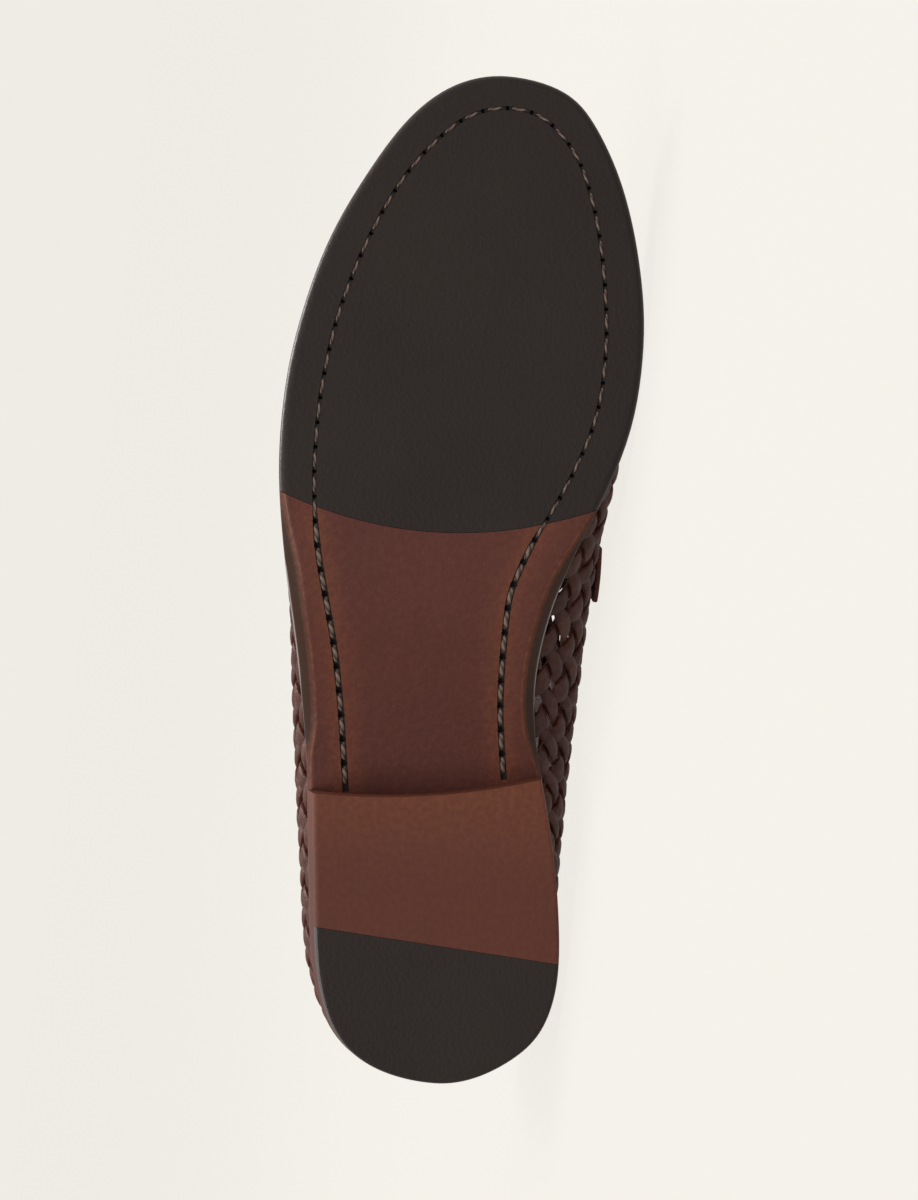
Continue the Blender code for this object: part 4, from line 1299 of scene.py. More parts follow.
@dataclass(frozen=True)
class RubberFinish:
    """Matt dark brown rubber with a fine moulded surface and a painted highlight along its rounded edge."""

    colour: tuple = shade(52, 45, 42)
    deep: tuple = shade(44, 38, 35)
    dust: tuple = shade(80, 72, 68)
    # Paler colour of the painted highlight along the rubber's rounded edge
    rim: tuple = shade(92, 80, 78)
    rim_span: tuple[float, float] = (0.30, 0.90)
    roughness: float = 0.58
    clouds: Grain = Grain(22.0, 4.0, 0.30, 0.75)
    grain: Grain = Grain(900.0, 3.0, 0.35, 0.68)
    dust_grain: Grain = Grain(2600.0, 1.0, 0.66, 0.78)
    gloss: float = 0.16
    depth: float = 0.00007

    def make(self, pose: LyingPose) -> bpy.types.Material:
        """Mix the material.

        Args:
            pose: how the shoe lies.

        Returns:
            The material.
        """
        mix = Recipe("sole_rubber", pose)
        edge, _ = mix.map_place()
        clouds = mix.grain(self.clouds)
        grain = mix.grain(self.grain)
        dust = mix.grain(self.dust_grain)
        colour = mix.mix(clouds * 0.60, self.colour, self.deep)
        colour = mix.mix(dust * 0.35, colour, self.dust)
        # Painted highlight: the rounded edge turned paler
        colour = mix.mix(edge.ramp(*self.rim_span) * 0.40, colour, self.rim)
        roughness = self.roughness + grain * 0.16 - clouds * 0.05 - edge * 0.20
        mix.gloss(self.gloss)
        mix.coat(edge.ramp(*self.rim_span) * 0.5)
        return mix.finish(colour, roughness, grain, self.depth)


@dataclass(frozen=True)
class HeelLeatherFinish:
    """Brown heel leather: smooth underneath, with its layers showing at the waxed side."""

    colour: tuple = shade(97, 52, 42)
    deep: tuple = shade(86, 44, 37)
    bright: tuple = shade(122, 72, 54)
    glow: tuple = shade(120, 68, 45)
    worn_from: float = 0.050
    worn_to: float = 0.080
    layer: float = 0.00085
    layer_span: tuple[float, float] = (-0.9, 0.5)
    side_span: tuple[float, float] = (0.0002, 0.0008)
    drift_scale: float = 60.0
    roughness: float = 0.46
    clouds: Grain = Grain(20.0, 4.0, 0.30, 0.72)
    fibres: Grain = Grain(640.0, 4.0, 0.34, 0.70)
    specks: Grain = Grain(1700.0, 2.0, 0.58, 0.74)
    gloss: float = 0.26
    depth: float = 0.00005

    def make(self, pose: LyingPose) -> bpy.types.Material:
        """Mix the material.

        Args:
            pose: how the shoe lies.

        Returns:
            The material.
        """
        mix = Recipe("heel_leather", pose)
        x, _, up = mix.parts(mix.place)
        clouds = mix.grain(self.clouds)
        fibres = mix.grain(self.fibres)
        specks = mix.grain(self.specks)
        worn = x.ramp(self.worn_from, self.worn_to) * (0.35 + fibres * 0.45 + clouds * 0.20)
        side = up.ramp(*self.side_span)
        drift = mix.noise(self.drift_scale, 2.0) * 0.4
        layers = ((up / self.layer + drift) * (2.0 * math.pi)).wave().ramp(*self.layer_span)
        colour = mix.mix(clouds * 0.40, self.colour, self.deep)
        colour = mix.mix(worn * 0.85, colour, self.glow)
        colour = mix.mix(fibres * 0.16 + specks * 0.30, colour, self.bright)
        colour = mix.mix((1.0 - layers) * side * 0.45, colour, self.deep)
        roughness = self.roughness + clouds * 0.06 - side * 0.08
        mix.gloss(self.gloss)
        return mix.finish(colour, roughness, layers * side * 0.6 + fibres * 0.4, self.depth)


@dataclass(frozen=True)
class CalfFinish:
    """Semi matt brown calf with fine grain, rubbed lighter in fine random patches."""

    name: str
    colour: tuple
    deep: tuple
    rubbed_and_highlight: tuple
    roughness: float = 0.40
    relief: float = 0.00009
    clouds: Grain = Grain(90.0, 3.0, 0.30, 0.72)
    creases: Grain = Grain(480.0, 4.0, 0.36, 0.66)
    grain_scale: float = 1500.0
    grain_span: tuple[float, float] = (0.0, 0.22)
    gloss: float = 0.40

    def make(self, pose: LyingPose) -> bpy.types.Material:
        """Mix the material.

        Args:
            pose: how the shoe lies.

        Returns:
            The material.
        """
        mix = Recipe(self.name, pose)
        strip = mix.read("strip")
        clouds = mix.grain(self.clouds)
        grain = mix.cells(self.grain_scale, "DISTANCE_TO_EDGE").ramp(*self.grain_span)
        creases = mix.grain(self.creases)
        colour = mix.mix(clouds * 0.50, self.colour, self.deep)
        colour = mix.mix(strip * 0.45, colour, self.deep)
        colour = mix.mix(creases * (1.0 - strip * 0.6) * 0.40, colour, self.rubbed_and_highlight)
        colour = mix.mix((1.0 - grain) * 0.30, colour, self.deep)
        roughness = self.roughness + (1.0 - creases) * 0.12 + strip * 0.06
        mix.gloss(self.gloss)
        return mix.finish(colour, roughness, grain * 0.45 + creases * 0.55, self.relief)


@dataclass(frozen=True)
class RawEdgeFinish:
    """The cut edge of a strip, where the undyed leather shows reddish."""

    colour: tuple = shade(112, 58, 42)
    deep: tuple = shade(64, 30, 24)
    roughness: float = 0.78
    fibres: Grain = Grain(1400.0, 3.0, 0.30, 0.70)
    depth: float = 0.00008

    def make(self, pose: LyingPose) -> bpy.types.Material:
        """Mix the material.

        Args:
            pose: how the shoe lies.

        Returns:
            The material.
        """
        mix = Recipe("raw_edge", pose)
        fibres = mix.grain(self.fibres)
        colour = mix.mix(fibres * 0.75, self.colour, self.deep)
        return mix.finish(colour, self.roughness, fibres, self.depth)


@dataclass(frozen=True)
class ThreadFinish:
    """Waxed sewing thread, twisted from plies."""

    name: str
    colour: tuple
    deep: tuple
    twists: float = 3.0
    ply_span: tuple[float, float] = (-0.9, 0.7)
    fuzz_scale: float = 3200.0
    roughness: float = 0.62
    depth: float = 0.00018

    def make(self, pose: LyingPose) -> bpy.types.Material:
        """Mix the material.

        Args:
            pose: how the shoe lies.

        Returns:
            The material.
        """
        mix = Recipe(self.name, pose)
        around, along = mix.map_place()
        plies = ((around * 2.0 + along * self.twists) * (2.0 * math.pi)).wave().ramp(*self.ply_span)
        fuzz = mix.noise(self.fuzz_scale, 2.0)
        colour = mix.mix(plies * 0.75 + fuzz * 0.20, self.deep, self.colour)
        return mix.finish(colour, self.roughness, plies * 0.7 + fuzz * 0.3, self.depth)


@dataclass(frozen=True)
class LiningFinish:
    """Soft tan lining leather with open pores and a foot's slight shine."""

    colour: tuple = shade(158, 128, 98)
    deep: tuple = shade(126, 98, 72)
    roughness: float = 0.62
    clouds: Grain = Grain(40.0, 4.0, 0.30, 0.75)
    pores_scale: float = 1700.0
    pores_span: tuple[float, float] = (0.05, 0.45)
    depth: float = 0.00007

    def make(self, pose: LyingPose) -> bpy.types.Material:
        """Mix the material.

        Args:
            pose: how the shoe lies.

        Returns:
            The material.
        """
        mix = Recipe("lining_leather", pose)
        clouds = mix.grain(self.clouds)
        pores = mix.cells(self.pores_scale).ramp(*self.pores_span)
        colour = mix.mix(clouds * 0.6, self.colour, self.deep)
        colour = mix.mix((1.0 - pores) * 0.4, colour, self.deep)
        return mix.finish(colour, self.roughness - clouds * 0.10, pores, self.depth)


@dataclass(frozen=True)
class GrooveFinish:
    """The shaded inside of the stitching groove."""

    colour: tuple = shade(34, 24, 21)
    deep: tuple = shade(20, 14, 12)
    fibre_scale: float = 1800.0
    roughness: float = 0.80
    depth: float = 0.00010

    def make(self, pose: LyingPose) -> bpy.types.Material:
        """Mix the material.

        Args:
            pose: how the shoe lies.

        Returns:
            The material.
        """
        mix = Recipe("groove", pose)
        fibres = mix.noise(self.fibre_scale, 3.0)
        colour = mix.mix(fibres, self.colour, self.deep)
        return mix.finish(colour, self.roughness, fibres, self.depth)


@dataclass
class Finishes:
    """Every finish of the shoe, mixed once."""

    pose: LyingPose
    made: dict[str, bpy.types.Material] = field(default_factory=dict)

    def __post_init__(self) -> None:
        """Mix them all."""
        calf = CalfFinish("woven_calf", shade(93, 51, 43), shade(62, 31, 27), shade(122, 78, 67))
        strap = CalfFinish("strap_calf", shade(88, 51, 44), shade(62, 34, 30), shade(110, 73, 64))
        thread = ThreadFinish("sole_thread", shade(134, 113, 101), shade(58, 41, 34))
        sewing = ThreadFinish("upper_thread", shade(96, 66, 56), shade(52, 32, 27), 2.0)
        for name, finish in (
            ("sole_leather", SoleLeatherFinish()),
            ("sole_rubber", RubberFinish()),
            ("heel_leather", HeelLeatherFinish()),
            ("woven", calf),
            ("strap", strap),
            ("raw_edge", RawEdgeFinish()),
            ("sole_thread", thread),
            ("upper_thread", sewing),
            ("lining", LiningFinish()),
            ("groove", GrooveFinish()),
        ):
            self.made[name] = finish.make(self.pose)

    def dress(self, piece: bpy.types.Object, *names: str) -> bpy.types.Object:
        """Give a piece its materials, in the order of its faces' numbers.

        Args:
            piece: the piece.
            names: names of finishes.

        Returns:
            The piece.
        """
        piece.data.materials.clear()
        for name in names:
            piece.data.materials.append(self.made[name])
        return piece


@dataclass
class Workshop:
    """What every sub-assembly works with."""

    sizes: ShoeSizes
    sole: SoleShape
    upper: UpperShape
    bench: Bench
    finishes: Finishes


def hand_over(piece: bpy.types.Object, slot: str, *nodes: str) -> bpy.types.Object:
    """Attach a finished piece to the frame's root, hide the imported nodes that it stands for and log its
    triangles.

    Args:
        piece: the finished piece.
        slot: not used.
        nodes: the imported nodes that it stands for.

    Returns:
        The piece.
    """
    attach(piece, "root")
    if nodes:
        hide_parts(*nodes)
    triangles = sum(len(face.vertices) - 2 for face in piece.data.polygons)
    LOG.info("%s: %d triangles", piece.name, triangles)
    return piece


class Face(NamedTuple):
    """One point of a slab's section: across from -1 to 1, inset, and height above a face.

    Wear goes from 0 on the underside to 1 at the edge.
    """

    across: float
    inset: float
    height: float
    below: bool
    wear: float = 1.0


@dataclass
class Slab:
    """A flat piece of the sole between two lines across it and between two faces."""

    shop: Workshop
    back: Line | None
    front: Line | None
    top: Line
    bottom: Line

    def shares(self, count: int) -> np.ndarray:
        """Shares along the slab, closer together at its round ends.

        Args:
            count: steps along the slab.

        Returns:
            The shares, from 0 to 1.
        """
        step = np.linspace(0.0, 1.0, count + 1)
        if self.back is None and self.front is None:
            return (1.0 - np.cos(math.pi * step)) / 2.0
        if self.back is None:
            return 1.0 - np.cos(math.pi / 2.0 * step)
        if self.front is None:
            return np.sin(math.pi / 2.0 * step)
        return step

    def rings(self, shares: np.ndarray, section: Sequence[Face]) -> np.ndarray:
        """Points of the slab, a ring at each share.

        Args:
            shares: places along the slab.
            section: the points of a ring.

        Returns:
            Rows of points, along the slab and round its section.
        """
        across = np.array([face.across for face in section])[None, :]
        inset = np.array([face.inset for face in section])[None, :]
        x, y = self.shop.sole.plan(shares[:, None], across, inset, self.back, self.front)
        z = np.empty(x.shape)
        for j, face in enumerate(section):
            level = self.bottom if face.below else self.top
            z[:, j] = level(x[:, j]) + face.height
        return np.stack((x, y, z), axis=-1)

    def solid(self, count: int, section: Sequence[Face]) -> tuple[np.ndarray, np.ndarray]:
        """Rings of the whole slab with its straight ends closed, and the wear of each point.

        Args:
            count: steps along the slab.
            section: the points of a ring.

        Returns:
            The rings and the map of their wear.
        """
        rings = self.rings(self.shares(count), section)
        across = np.array([face.across for face in section])
        for at, line in ((0, self.back), (-1, self.front)):
            if line is None:
                continue
            middle = rings[at].copy()
            for value in np.unique(across):
                middle[across == value] = middle[across == value].mean(axis=0)
            rings = np.concatenate((middle[None], rings) if at == 0 else (rings, middle[None]))
        wear = np.array([face.wear for face in section])
        return rings, np.tile(np.stack((wear, np.zeros_like(wear)), axis=-1), (len(rings), 1, 1))


def slab_section(
    top_inset: float, side: Sequence[tuple[float, float]], columns: int = 14, crease: float = 0.0006
) -> list[Face]:
    """A slab's section: across its top, down its inner side, back under it and up its outer side.

    Args:
        top_inset: inset of the top face.
        side: insets and heights above the lower face, going down.
        columns: steps across.
        crease: rounding of the upper edge.

    Returns:
        The section's points.
    """
    spread = np.linspace(-SPREAD, SPREAD, columns)
    top = [Face(-1.0, top_inset + crease, 0.0, False)]
    top += [Face(float(place), top_inset + crease, 0.0, False) for place in spread]
    top += [Face(1.0, top_inset + crease, 0.0, False)]
    first = side[0][0]
    span = max(side[-1][0] - first, TINY)
    drop = [(inset, height, True, 1.0 - (inset - first) / span) for inset, height in side]
    inner = [Face(1.0, top_inset, -crease, False)] + [Face(1.0, *step) for step in drop]
    under = [Face(float(place), side[-1][0], 0.0, True, 0.0) for place in spread[::-1]]
    outer = [Face(-1.0, *step) for step in reversed(drop)]
    return top + inner + under + outer + [Face(-1.0, top_inset, -crease, False)]


# Shares across and up the waist's bevel, from the sole's side to its tread
WAIST_SIDE = ((0.0, 1.06), (0.025, 0.97), (0.12, 0.80), (0.30, 0.53), (0.55, 0.26), (0.80, 0.08), (1.0, 0.0))

# Heights in millimetres down the leather's side over the rubber
LIP_HEIGHTS = (1.0, 0.8, 0.6, 0.4, 0.3, 0.15, 0.0)

# Insets and heights down the rubber's rounded side
RUBBER_SIDE = ((0.0, 0.0016), (0.0001, 0.0012), (0.0004, 0.0007), (0.0009, 0.0003), (0.0016, 0.0))


@dataclass
class Sole:
    """The leather outsole and the rubber half sole, with the groove and stitches of their seam."""

    shop: Workshop
    groove_radius: float = 0.00088
    groove_depth: float = 0.00076
    hole_radius: float = 0.00098
    hole_depth: float = 0.0017
    stitch_pitch: float = 0.0065
    stitch_half: float = 0.00268
    thread: float = 0.00074
    thread_depth: float = 0.00044
    thin: float = 0.66
    glow_width: float = 0.0040
    joint_room: float = 0.00008
    thin_from: float = 0.004
    thin_to: float = 0.006
    peg_share: float = 0.85
    thread_dip: float = 0.0007
    plain_wear: float = 0.2
    edge_wear: float = 0.99
    crease: float = 0.0002
    sharpness: float = 30.0
    fine_points: int = 2400
    cutter_points: int = 240
    glow_points: int = 150
    bar_sides: int = 12
    peg_sides: int = 10
    rings_behind: int = 76
    rings_ahead: int = 46
    columns: int = 44

    def seam_line(self, count: int) -> np.ndarray:
        """The seam's places on the tread, evenly spaced.

        Args:
            count: points wanted.

        Returns:
            The points.
        """
        points = np.array(SOLE_SEAM)
        points[:, 0] *= self.shop.sizes.sole_length
        flat = smooth_path(points, count)
        return np.column_stack((flat, self.shop.sole.tread(flat[:, 0])))

    def frames(self, line: np.ndarray) -> tuple[np.ndarray, np.ndarray, np.ndarray]:
        """Directions along the seam, out of the sole and across the seam.

        Args:
            line: points along the seam.

        Returns:
            The three directions at each point.
        """
        run = unit(np.gradient(line, axis=0))
        side = unit(np.cross(np.array((0.0, 0.0, -1.0)), run))
        return run, unit(np.cross(run, side)), side

    def stitch_places(self) -> tuple[np.ndarray, list[int], list[int]]:
        """A fine line along the seam, with where its stitches and its holes are on it.

        Returns:
            The line, and the numbers of its points at stitches and holes.
        """
        fine = self.seam_line(self.fine_points)
        total = path_length(fine)
        reach = np.linspace(0.0, total, len(fine))
        count = int(total / self.stitch_pitch)
        pitch = total / count
        middles = [int(np.searchsorted(reach, (i + 0.5) * pitch)) for i in range(count)]
        holes = [int(np.searchsorted(reach, i * pitch)) for i in range(1, count)]
        return fine, middles, holes

    def fullness(self, x: np.ndarray) -> np.ndarray:
        """Share of its full thickness that the seam has at lengths, thinner in the rubber."""
        joint = self.shop.sizes.rubber_joint
        return 1.0 - (1.0 - self.thin) * smoothstep(joint - self.thin_from, joint + self.thin_to, x)

    def cutter(self) -> bpy.types.Object:
        """The round bar that cuts the groove, with a peg for every hole of the thread.

        Returns:
            The bar and its pegs as one piece.
        """
        bench = self.shop.bench
        line = self.seam_line(self.cutter_points)
        run, out, side = self.frames(line)
        full = self.fullness(line[:, :1])
        centre = line + out * full * (self.groove_radius - self.groove_depth)
        ends = np.concatenate((centre[:1] - run[:1] * MM, centre, centre[-1:] + run[-1:] * 0.5 * MM))
        radius = np.concatenate((full[:1], full, full[-1:])) * self.groove_radius
        first = np.concatenate((out[:1], out, out[-1:])) * radius
        second = np.concatenate((side[:1], side, side[-1:])) * radius
        bar = bench.tube("groove_cutter", ends, first, second, self.bar_sides, ring=False)
        fine, _, holes = self.stitch_places()
        run, out, side = self.frames(fine)
        pegs = []
        for at in holes:
            radius = self.hole_radius * float(self.fullness(fine[at, 0]))
            peg = np.array((fine[at] + out[at] * MM, fine[at] - out[at] * self.hole_depth))
            across = np.repeat(run[at][None], 2, axis=0) * radius * self.peg_share
            along = np.repeat(side[at][None], 2, axis=0) * radius
            pegs.append(bench.tube("peg", peg, across, along, self.peg_sides, ring=False))
        return bench.join("groove_cutter", [bar] + pegs)

    def waist_side(self, x: float) -> list[tuple[float, float]]:
        """Insets and heights down the sole's side, which turns into the bevel of the waist.

        Args:
            x: length along the shoe.

        Returns:
            The insets and heights.
        """
        sizes = self.shop.sizes
        bevel = float(self.shop.sole.profile("bevel", x))
        width = sizes.edge_rounding + (sizes.bevel_width - sizes.edge_rounding) * bevel
        height = sizes.edge_rounding + (sizes.bevel_height - sizes.edge_rounding) * bevel
        return [(across * width, up * height) for across, up in WAIST_SIDE]

    def leather_rings(self) -> tuple[np.ndarray, np.ndarray]:
        """Rings of the leather sole, which steps up over the rubber, and the wear of each point.

        Returns:
            The rings and the wear.
        """
        shop, sizes, room = self.shop, self.shop.sizes, self.joint_room
        sole = shop.sole
        rear = Slab(shop, None, moved(sole.rubber_line, -room / 2.0), sole.top, sole.tread)
        rows, wear = [], []
        for share in rear.shares(self.rings_behind):
            section = slab_section(0.0, self.waist_side(share * sizes.rubber_joint), self.columns)
            rows.append(rear.rings(np.array([share]), section)[0])
            bevel = float(sole.profile("bevel", share * sizes.rubber_joint))
            fade = self.plain_wear + (1.0 - self.plain_wear) * bevel
            wear.append([face.wear if face.wear > self.edge_wear else face.wear * fade for face in section])
        above = sizes.rubber_thickness + room
        joint = moved(sole.rubber_line, room / 2.0)
        front = Slab(shop, joint, None, sole.top, moved(sole.tread, above))
        side = [(0.0, height * MM) for height in LIP_HEIGHTS]
        section = slab_section(0.0, side, self.columns)
        ahead = front.rings(front.shares(self.rings_ahead), section)
        wear += [[face.wear for face in section]] * len(ahead)
        return np.concatenate((np.array(rows), ahead)), np.array(wear)

    def rubber_rings(self) -> tuple[np.ndarray, np.ndarray]:
        """Rings of the rubber half sole, and the wear of each point.

        Returns:
            The rings and the map of their wear.
        """
        shop, sizes = self.shop, self.shop.sizes
        sole, room = shop.sole, self.joint_room
        top = moved(sole.tread, sizes.rubber_thickness)
        slab = Slab(shop, moved(sole.rubber_line, room), None, top, sole.tread)
        return slab.solid(self.rings_ahead, slab_section(0.0, RUBBER_SIDE, self.columns, self.crease))

    def near_seam(self, points: np.ndarray) -> np.ndarray:
        """How near points are to the seam, from 1 on it to 0 away from it.

        Args:
            points: points of the tread.

        Returns:
            The nearness.
        """
        seam = self.seam_line(self.glow_points)[:, :2]
        gaps = np.linalg.norm(points[..., None, :2] - seam, axis=-1).min(axis=-1)
        return np.exp(-((gaps / self.glow_width) ** 2))

    def stitches(self) -> bpy.types.Object:
        """The thread that lies in the groove, one bead a stitch.

        Returns:
            The thread as one piece.
        """
        fine, middles, _ = self.stitch_places()
        run, out, _ = self.frames(fine)
        beads = []
        for at in middles:
            full = float(self.fullness(fine[at, 0]))
            centre = fine[at] - out[at] * self.thread_depth
            width = self.thread * full
            beads.append(Bead(centre, run[at], out[at], self.stitch_half, width, self.thread_dip))
        return self.shop.bench.beads("sole_stitches", beads)

    def build(self) -> None:
        """Build, cut, stitch and dress the sole."""
        bench, finishes = self.shop.bench, self.shop.finishes
        points, wear = self.leather_rings()
        chart = np.stack((wear, self.near_seam(points)), axis=-1)
        leather = bench.sheet("outsole_leather", points, closed=True, chart=chart)
        points, chart = self.rubber_rings()
        rubber = bench.sheet("half_sole_rubber", points, closed=True, chart=chart)
        finishes.dress(leather, "sole_leather", "groove")
        finishes.dress(rubber, "sole_rubber", "groove")
        for piece in (leather, rubber):
            cutter = self.cutter()
            cutter.data.materials.clear()
            for material in piece.data.materials:
                cutter.data.materials.append(material)
            cutter.data.polygons.foreach_set("material_index", np.full(len(cutter.data.polygons), 1))
            bench.carve(piece, cutter)
            bench.smooth(piece, self.sharpness)
        thread = finishes.dress(self.stitches(), "sole_thread")
        hand_over(leather, "sole_leather", "outsole")
        hand_over(rubber, "sole_rubber", "forefoot_rubber")
        hand_over(thread, "sole_leather")


@dataclass
class Heel:
    """The stacked heel: leather lifts over a lowest lift of leather and rubber."""

    shop: Workshop
    room: float = 0.00008
    rings: int = 40
    crease: float = 0.0002
    facet: float = 0.25
    layer_rounding: float = 0.0003
    tread_rounding: float = 0.0007
    sharpness: float = 30.0

    def level(self, step: int) -> Line:
        """Face under a number of lifts.

        Args:
            step: the number of lifts above it.

        Returns:
            The face.
        """
        sizes, sole = self.shop.sizes, self.shop.sole
        share = step / sizes.heel_lifts
        return lambda x: sole.tread(x) + (sizes.top_piece - sole.tread(x)) * share

    def inset(self, height: float) -> float:
        """How far the heel has narrowed at a height."""
        sizes = self.shop.sizes
        return sizes.heel_taper * (1.0 - height / sizes.heel_height)

    def lift(
        self,
        name: str,
        lines: tuple[Line | None, Line],
        faces: tuple[Line, Line],
        insets: tuple[float, float],
        rounding: float,
    ) -> bpy.types.Object:
        """Build one layer of the heel.

        Args:
            name: the piece's name.
            lines: its back and front lines.
            faces: its upper and lower faces.
            insets: how far its upper and lower edges are drawn in.
            rounding: rounding of its lower edge.

        Returns:
            The layer.
        """
        slab = Slab(self.shop, lines[0], lines[1], faces[0], faces[1])
        upper, lower = insets
        facet = self.facet * rounding
        side = [(lower, rounding), (lower + facet, facet), (lower + rounding, 0.0)]
        section = slab_section(upper, side, crease=self.crease)
        count = self.rings if lines[0] is None else self.rings // 2
        rings, chart = slab.solid(count, section)
        piece = self.shop.bench.sheet(name, rings, closed=True, chart=chart)
        self.shop.bench.smooth(piece, self.sharpness)
        return piece

    def build(self) -> None:
        """Build and dress the lifts."""
        shop, sizes = self.shop, self.shop.sizes
        breast = shop.sole.breast_line
        half = self.room / 2.0
        for step in range(sizes.heel_lifts):
            top, bottom = self.level(step), self.level(step + 1)
            insets = (self.inset(float(top(0.0))), self.inset(float(bottom(0.0))))
            faces = (moved(top, -half), bottom)
            name = f"heel_layer_{step + 1}"
            piece = self.lift(name, (None, breast), faces, insets, self.layer_rounding)
            shop.finishes.dress(piece, "heel_leather")
            hand_over(piece, "heel_leather", f"heel_lift_{step + 1}")
        faces = (flat_face(sizes.top_piece - half), flat_face(0.0))
        insets = (self.inset(sizes.top_piece), self.inset(0.0))
        behind = (None, moved(shop.sole.heel_rubber_line, -half))
        ahead = (moved(shop.sole.heel_rubber_line, half), breast)
        for name, lines, slot, finish, node in (
            ("heel_tread_rubber", behind, "sole_rubber", "sole_rubber", "top_piece_rubber"),
            ("heel_tread_leather", ahead, "heel_leather", "heel_leather", "top_piece_leather"),
        ):
            piece = self.lift(name, lines, faces, insets, self.tread_rounding)
            shop.finishes.dress(piece, finish)
            hand_over(piece, slot, node)


@dataclass
class Footbed:
    """The lining leather that the foot stands on."""

    shop: Workshop
    room: float = 0.0006
    rings: int = 70

    def build(self) -> None:
        """Build and dress the footbed."""
        shop, sizes = self.shop, self.shop.sizes
        inset = sizes.feather_inset + sizes.wall + self.room
        bottom = moved(shop.sole.top, sizes.seat)
        slab = Slab(shop, None, None, moved(bottom, sizes.insole), bottom)
        section = slab_section(inset, [(inset, sizes.insole / 2.0), (inset, 0.0)])
        piece = shop.bench.sheet("footbed", slab.rings(slab.shares(self.rings), section), closed=True)
        shop.bench.smooth(piece, SMOOTH_ANGLE)
        hand_over(shop.finishes.dress(piece, "lining"), "lining_leather", "insole")


@dataclass
class Weave:
    """The strips of the upper, woven at a slant round the foot and over the toes."""

    shop: Workshop
    half_width: float = 0.00195
    swell: float = 0.00050
    wave: float = 0.00080
    thickness: float = 0.00115
    dome: float = 0.00044
    sink: float = 0.00050
    variation: float = 0.07
    steps: int = 6
    across: int = 4
    edge: float = 0.00022
    reach: float = 22.0
    sample: float = 0.02
    foot: float = -0.12
    shortest: float = 1.0
    flat_end: float = 0.7
    collar_hem: float = 0.45
    seam_hem: float = 0.10
    seam_gap: float = 0.12
    apron_lines: int = 60
    apron_reach: tuple[float, float] = (-30.0, 60.0)
    fewest: int = 50
    uneven: tuple[tuple[float, float], ...] = ((2.3, 5.0), (5.1, 1.7))

    def ribbon_lift(
        self, k: np.ndarray, q: np.ndarray, over: np.ndarray, low: float, high: float
    ) -> np.ndarray:
        """Height of a strip's face off the wall, flat at its ends and domed across.

        Args:
            k: places along the strip.
            q: places across it.
            over: 1 where it lies on top, -1 underneath.
            low: its start.
            high: its end.

        Returns:
            The heights.
        """
        ends = smoothstep(0.0, self.flat_end, k - low) * smoothstep(0.0, self.flat_end, high - k)
        level = over * (1.5 - 0.5 * over**2)
        return level * self.wave * ends + self.dome * (1.0 - q**2) - self.sink

    def grid(self, low: float, high: float) -> tuple[np.ndarray, np.ndarray]:
        """Places along and across a strip.

        Args:
            low: the strip's start.
            high: its end.

        Returns:
            The places along and across.
        """
        count = max(int((high - low) * self.steps), 3)
        k = np.linspace(low, high, count + 1)[:, None]
        q = np.linspace(-1.0, 1.0, self.across + 1)[None, :]
        return np.broadcast_arrays(k, q)

    def width(self, k: np.ndarray, over: np.ndarray, strip: float) -> np.ndarray:
        """Half width of a strip in weave steps, widest on top and a little uneven by hand.

        Args:
            k: places along the strip.
            over: 1 where it lies on top, -1 underneath.
            strip: its number, which sets its unevenness.

        Returns:
            The half widths.
        """
        waves = sum(np.sin(along * k + each * strip) for along, each in self.uneven)
        uneven = 1.0 + self.variation * waves
        return (self.half_width + self.swell * over) * uneven / self.shop.sizes.weave_step / math.sqrt(2.0)

    def wall_strip(self, start: float, slant: Slant) -> np.ndarray | None:
        """Points of one strip up the wall.

        Args:
            start: column at which the strip leaves the sole.
            slant: which way it leans.

        Returns:
            Rows of points, or None where the wall is too low for a strip.
        """
        sizes, upper = self.shop.sizes, self.shop.upper
        k = np.arange(0.0, self.reach, self.sample)
        column = np.mod(start + slant.value * k, upper.count)
        seam = upper.seam_share(column)
        hem = self.collar_hem * sizes.collar_band * (1.0 - seam) + self.seam_hem * sizes.seam_width * seam
        hem = hem / sizes.weave_step
        spare = upper.wall_length(column) / sizes.weave_step - hem - k
        out = np.flatnonzero(spare < 0.0)
        high = float(k[out[0]]) if len(out) else self.reach
        low = self.foot
        if high - low < self.shortest:
            return None
        k, q = self.grid(low, high)
        over = slant.value * np.cos(math.pi * k)
        half = self.width(k, over, start)
        column = start + slant.value * k - q * half
        row = k + slant.value * q * half
        return upper.wall(column, row * sizes.weave_step, self.ribbon_lift(k, q, over, low, high))

    def apron_strip(self, line: int, slant: Slant) -> np.ndarray | None:
        """Points of one strip over the toes.

        Args:
            line: number of the strip.
            slant: which way it leans.

        Returns:
            Rows of points, or None where the strip would be too short.
        """
        sizes, upper = self.shop.sizes, self.shop.upper
        step = sizes.weave_step

        def plan(t: np.ndarray) -> tuple[np.ndarray, np.ndarray]:
            """Places in plan, in weave steps, along the strip."""
            return (line + t, -line + t) if slant is Slant.FORWARD else (line + t, line - t)

        t = np.arange(*self.apron_reach, self.sample)
        x, y = plan(t)
        margin = self.seam_gap * sizes.seam_width
        inside = (y * step < upper.rim_half(Side.INNER, x * step) - margin) & (
            y * step > margin - upper.rim_half(Side.OUTER, x * step)
        )
        inside &= x * step > upper.throat_x_at(y * step) + self.collar_hem * sizes.collar_band
        inside &= x * step < sizes.sole_length + sizes.rim_ends[1] - margin
        held = np.flatnonzero(inside)
        if len(held) < self.fewest:
            return None
        low, high = float(t[held[0]]), float(t[held[-1]])
        k, q = self.grid(low, high)
        over = slant.value * np.cos(math.pi * (k + line))
        half = self.width(k, over, float(line))
        x, y = plan(k)
        x, y = (x - q * half, y + q * half) if slant is Slant.FORWARD else (x + q * half, y + q * half)
        return upper.apron(x * step, y * step, self.ribbon_lift(k, q, over, low, high))

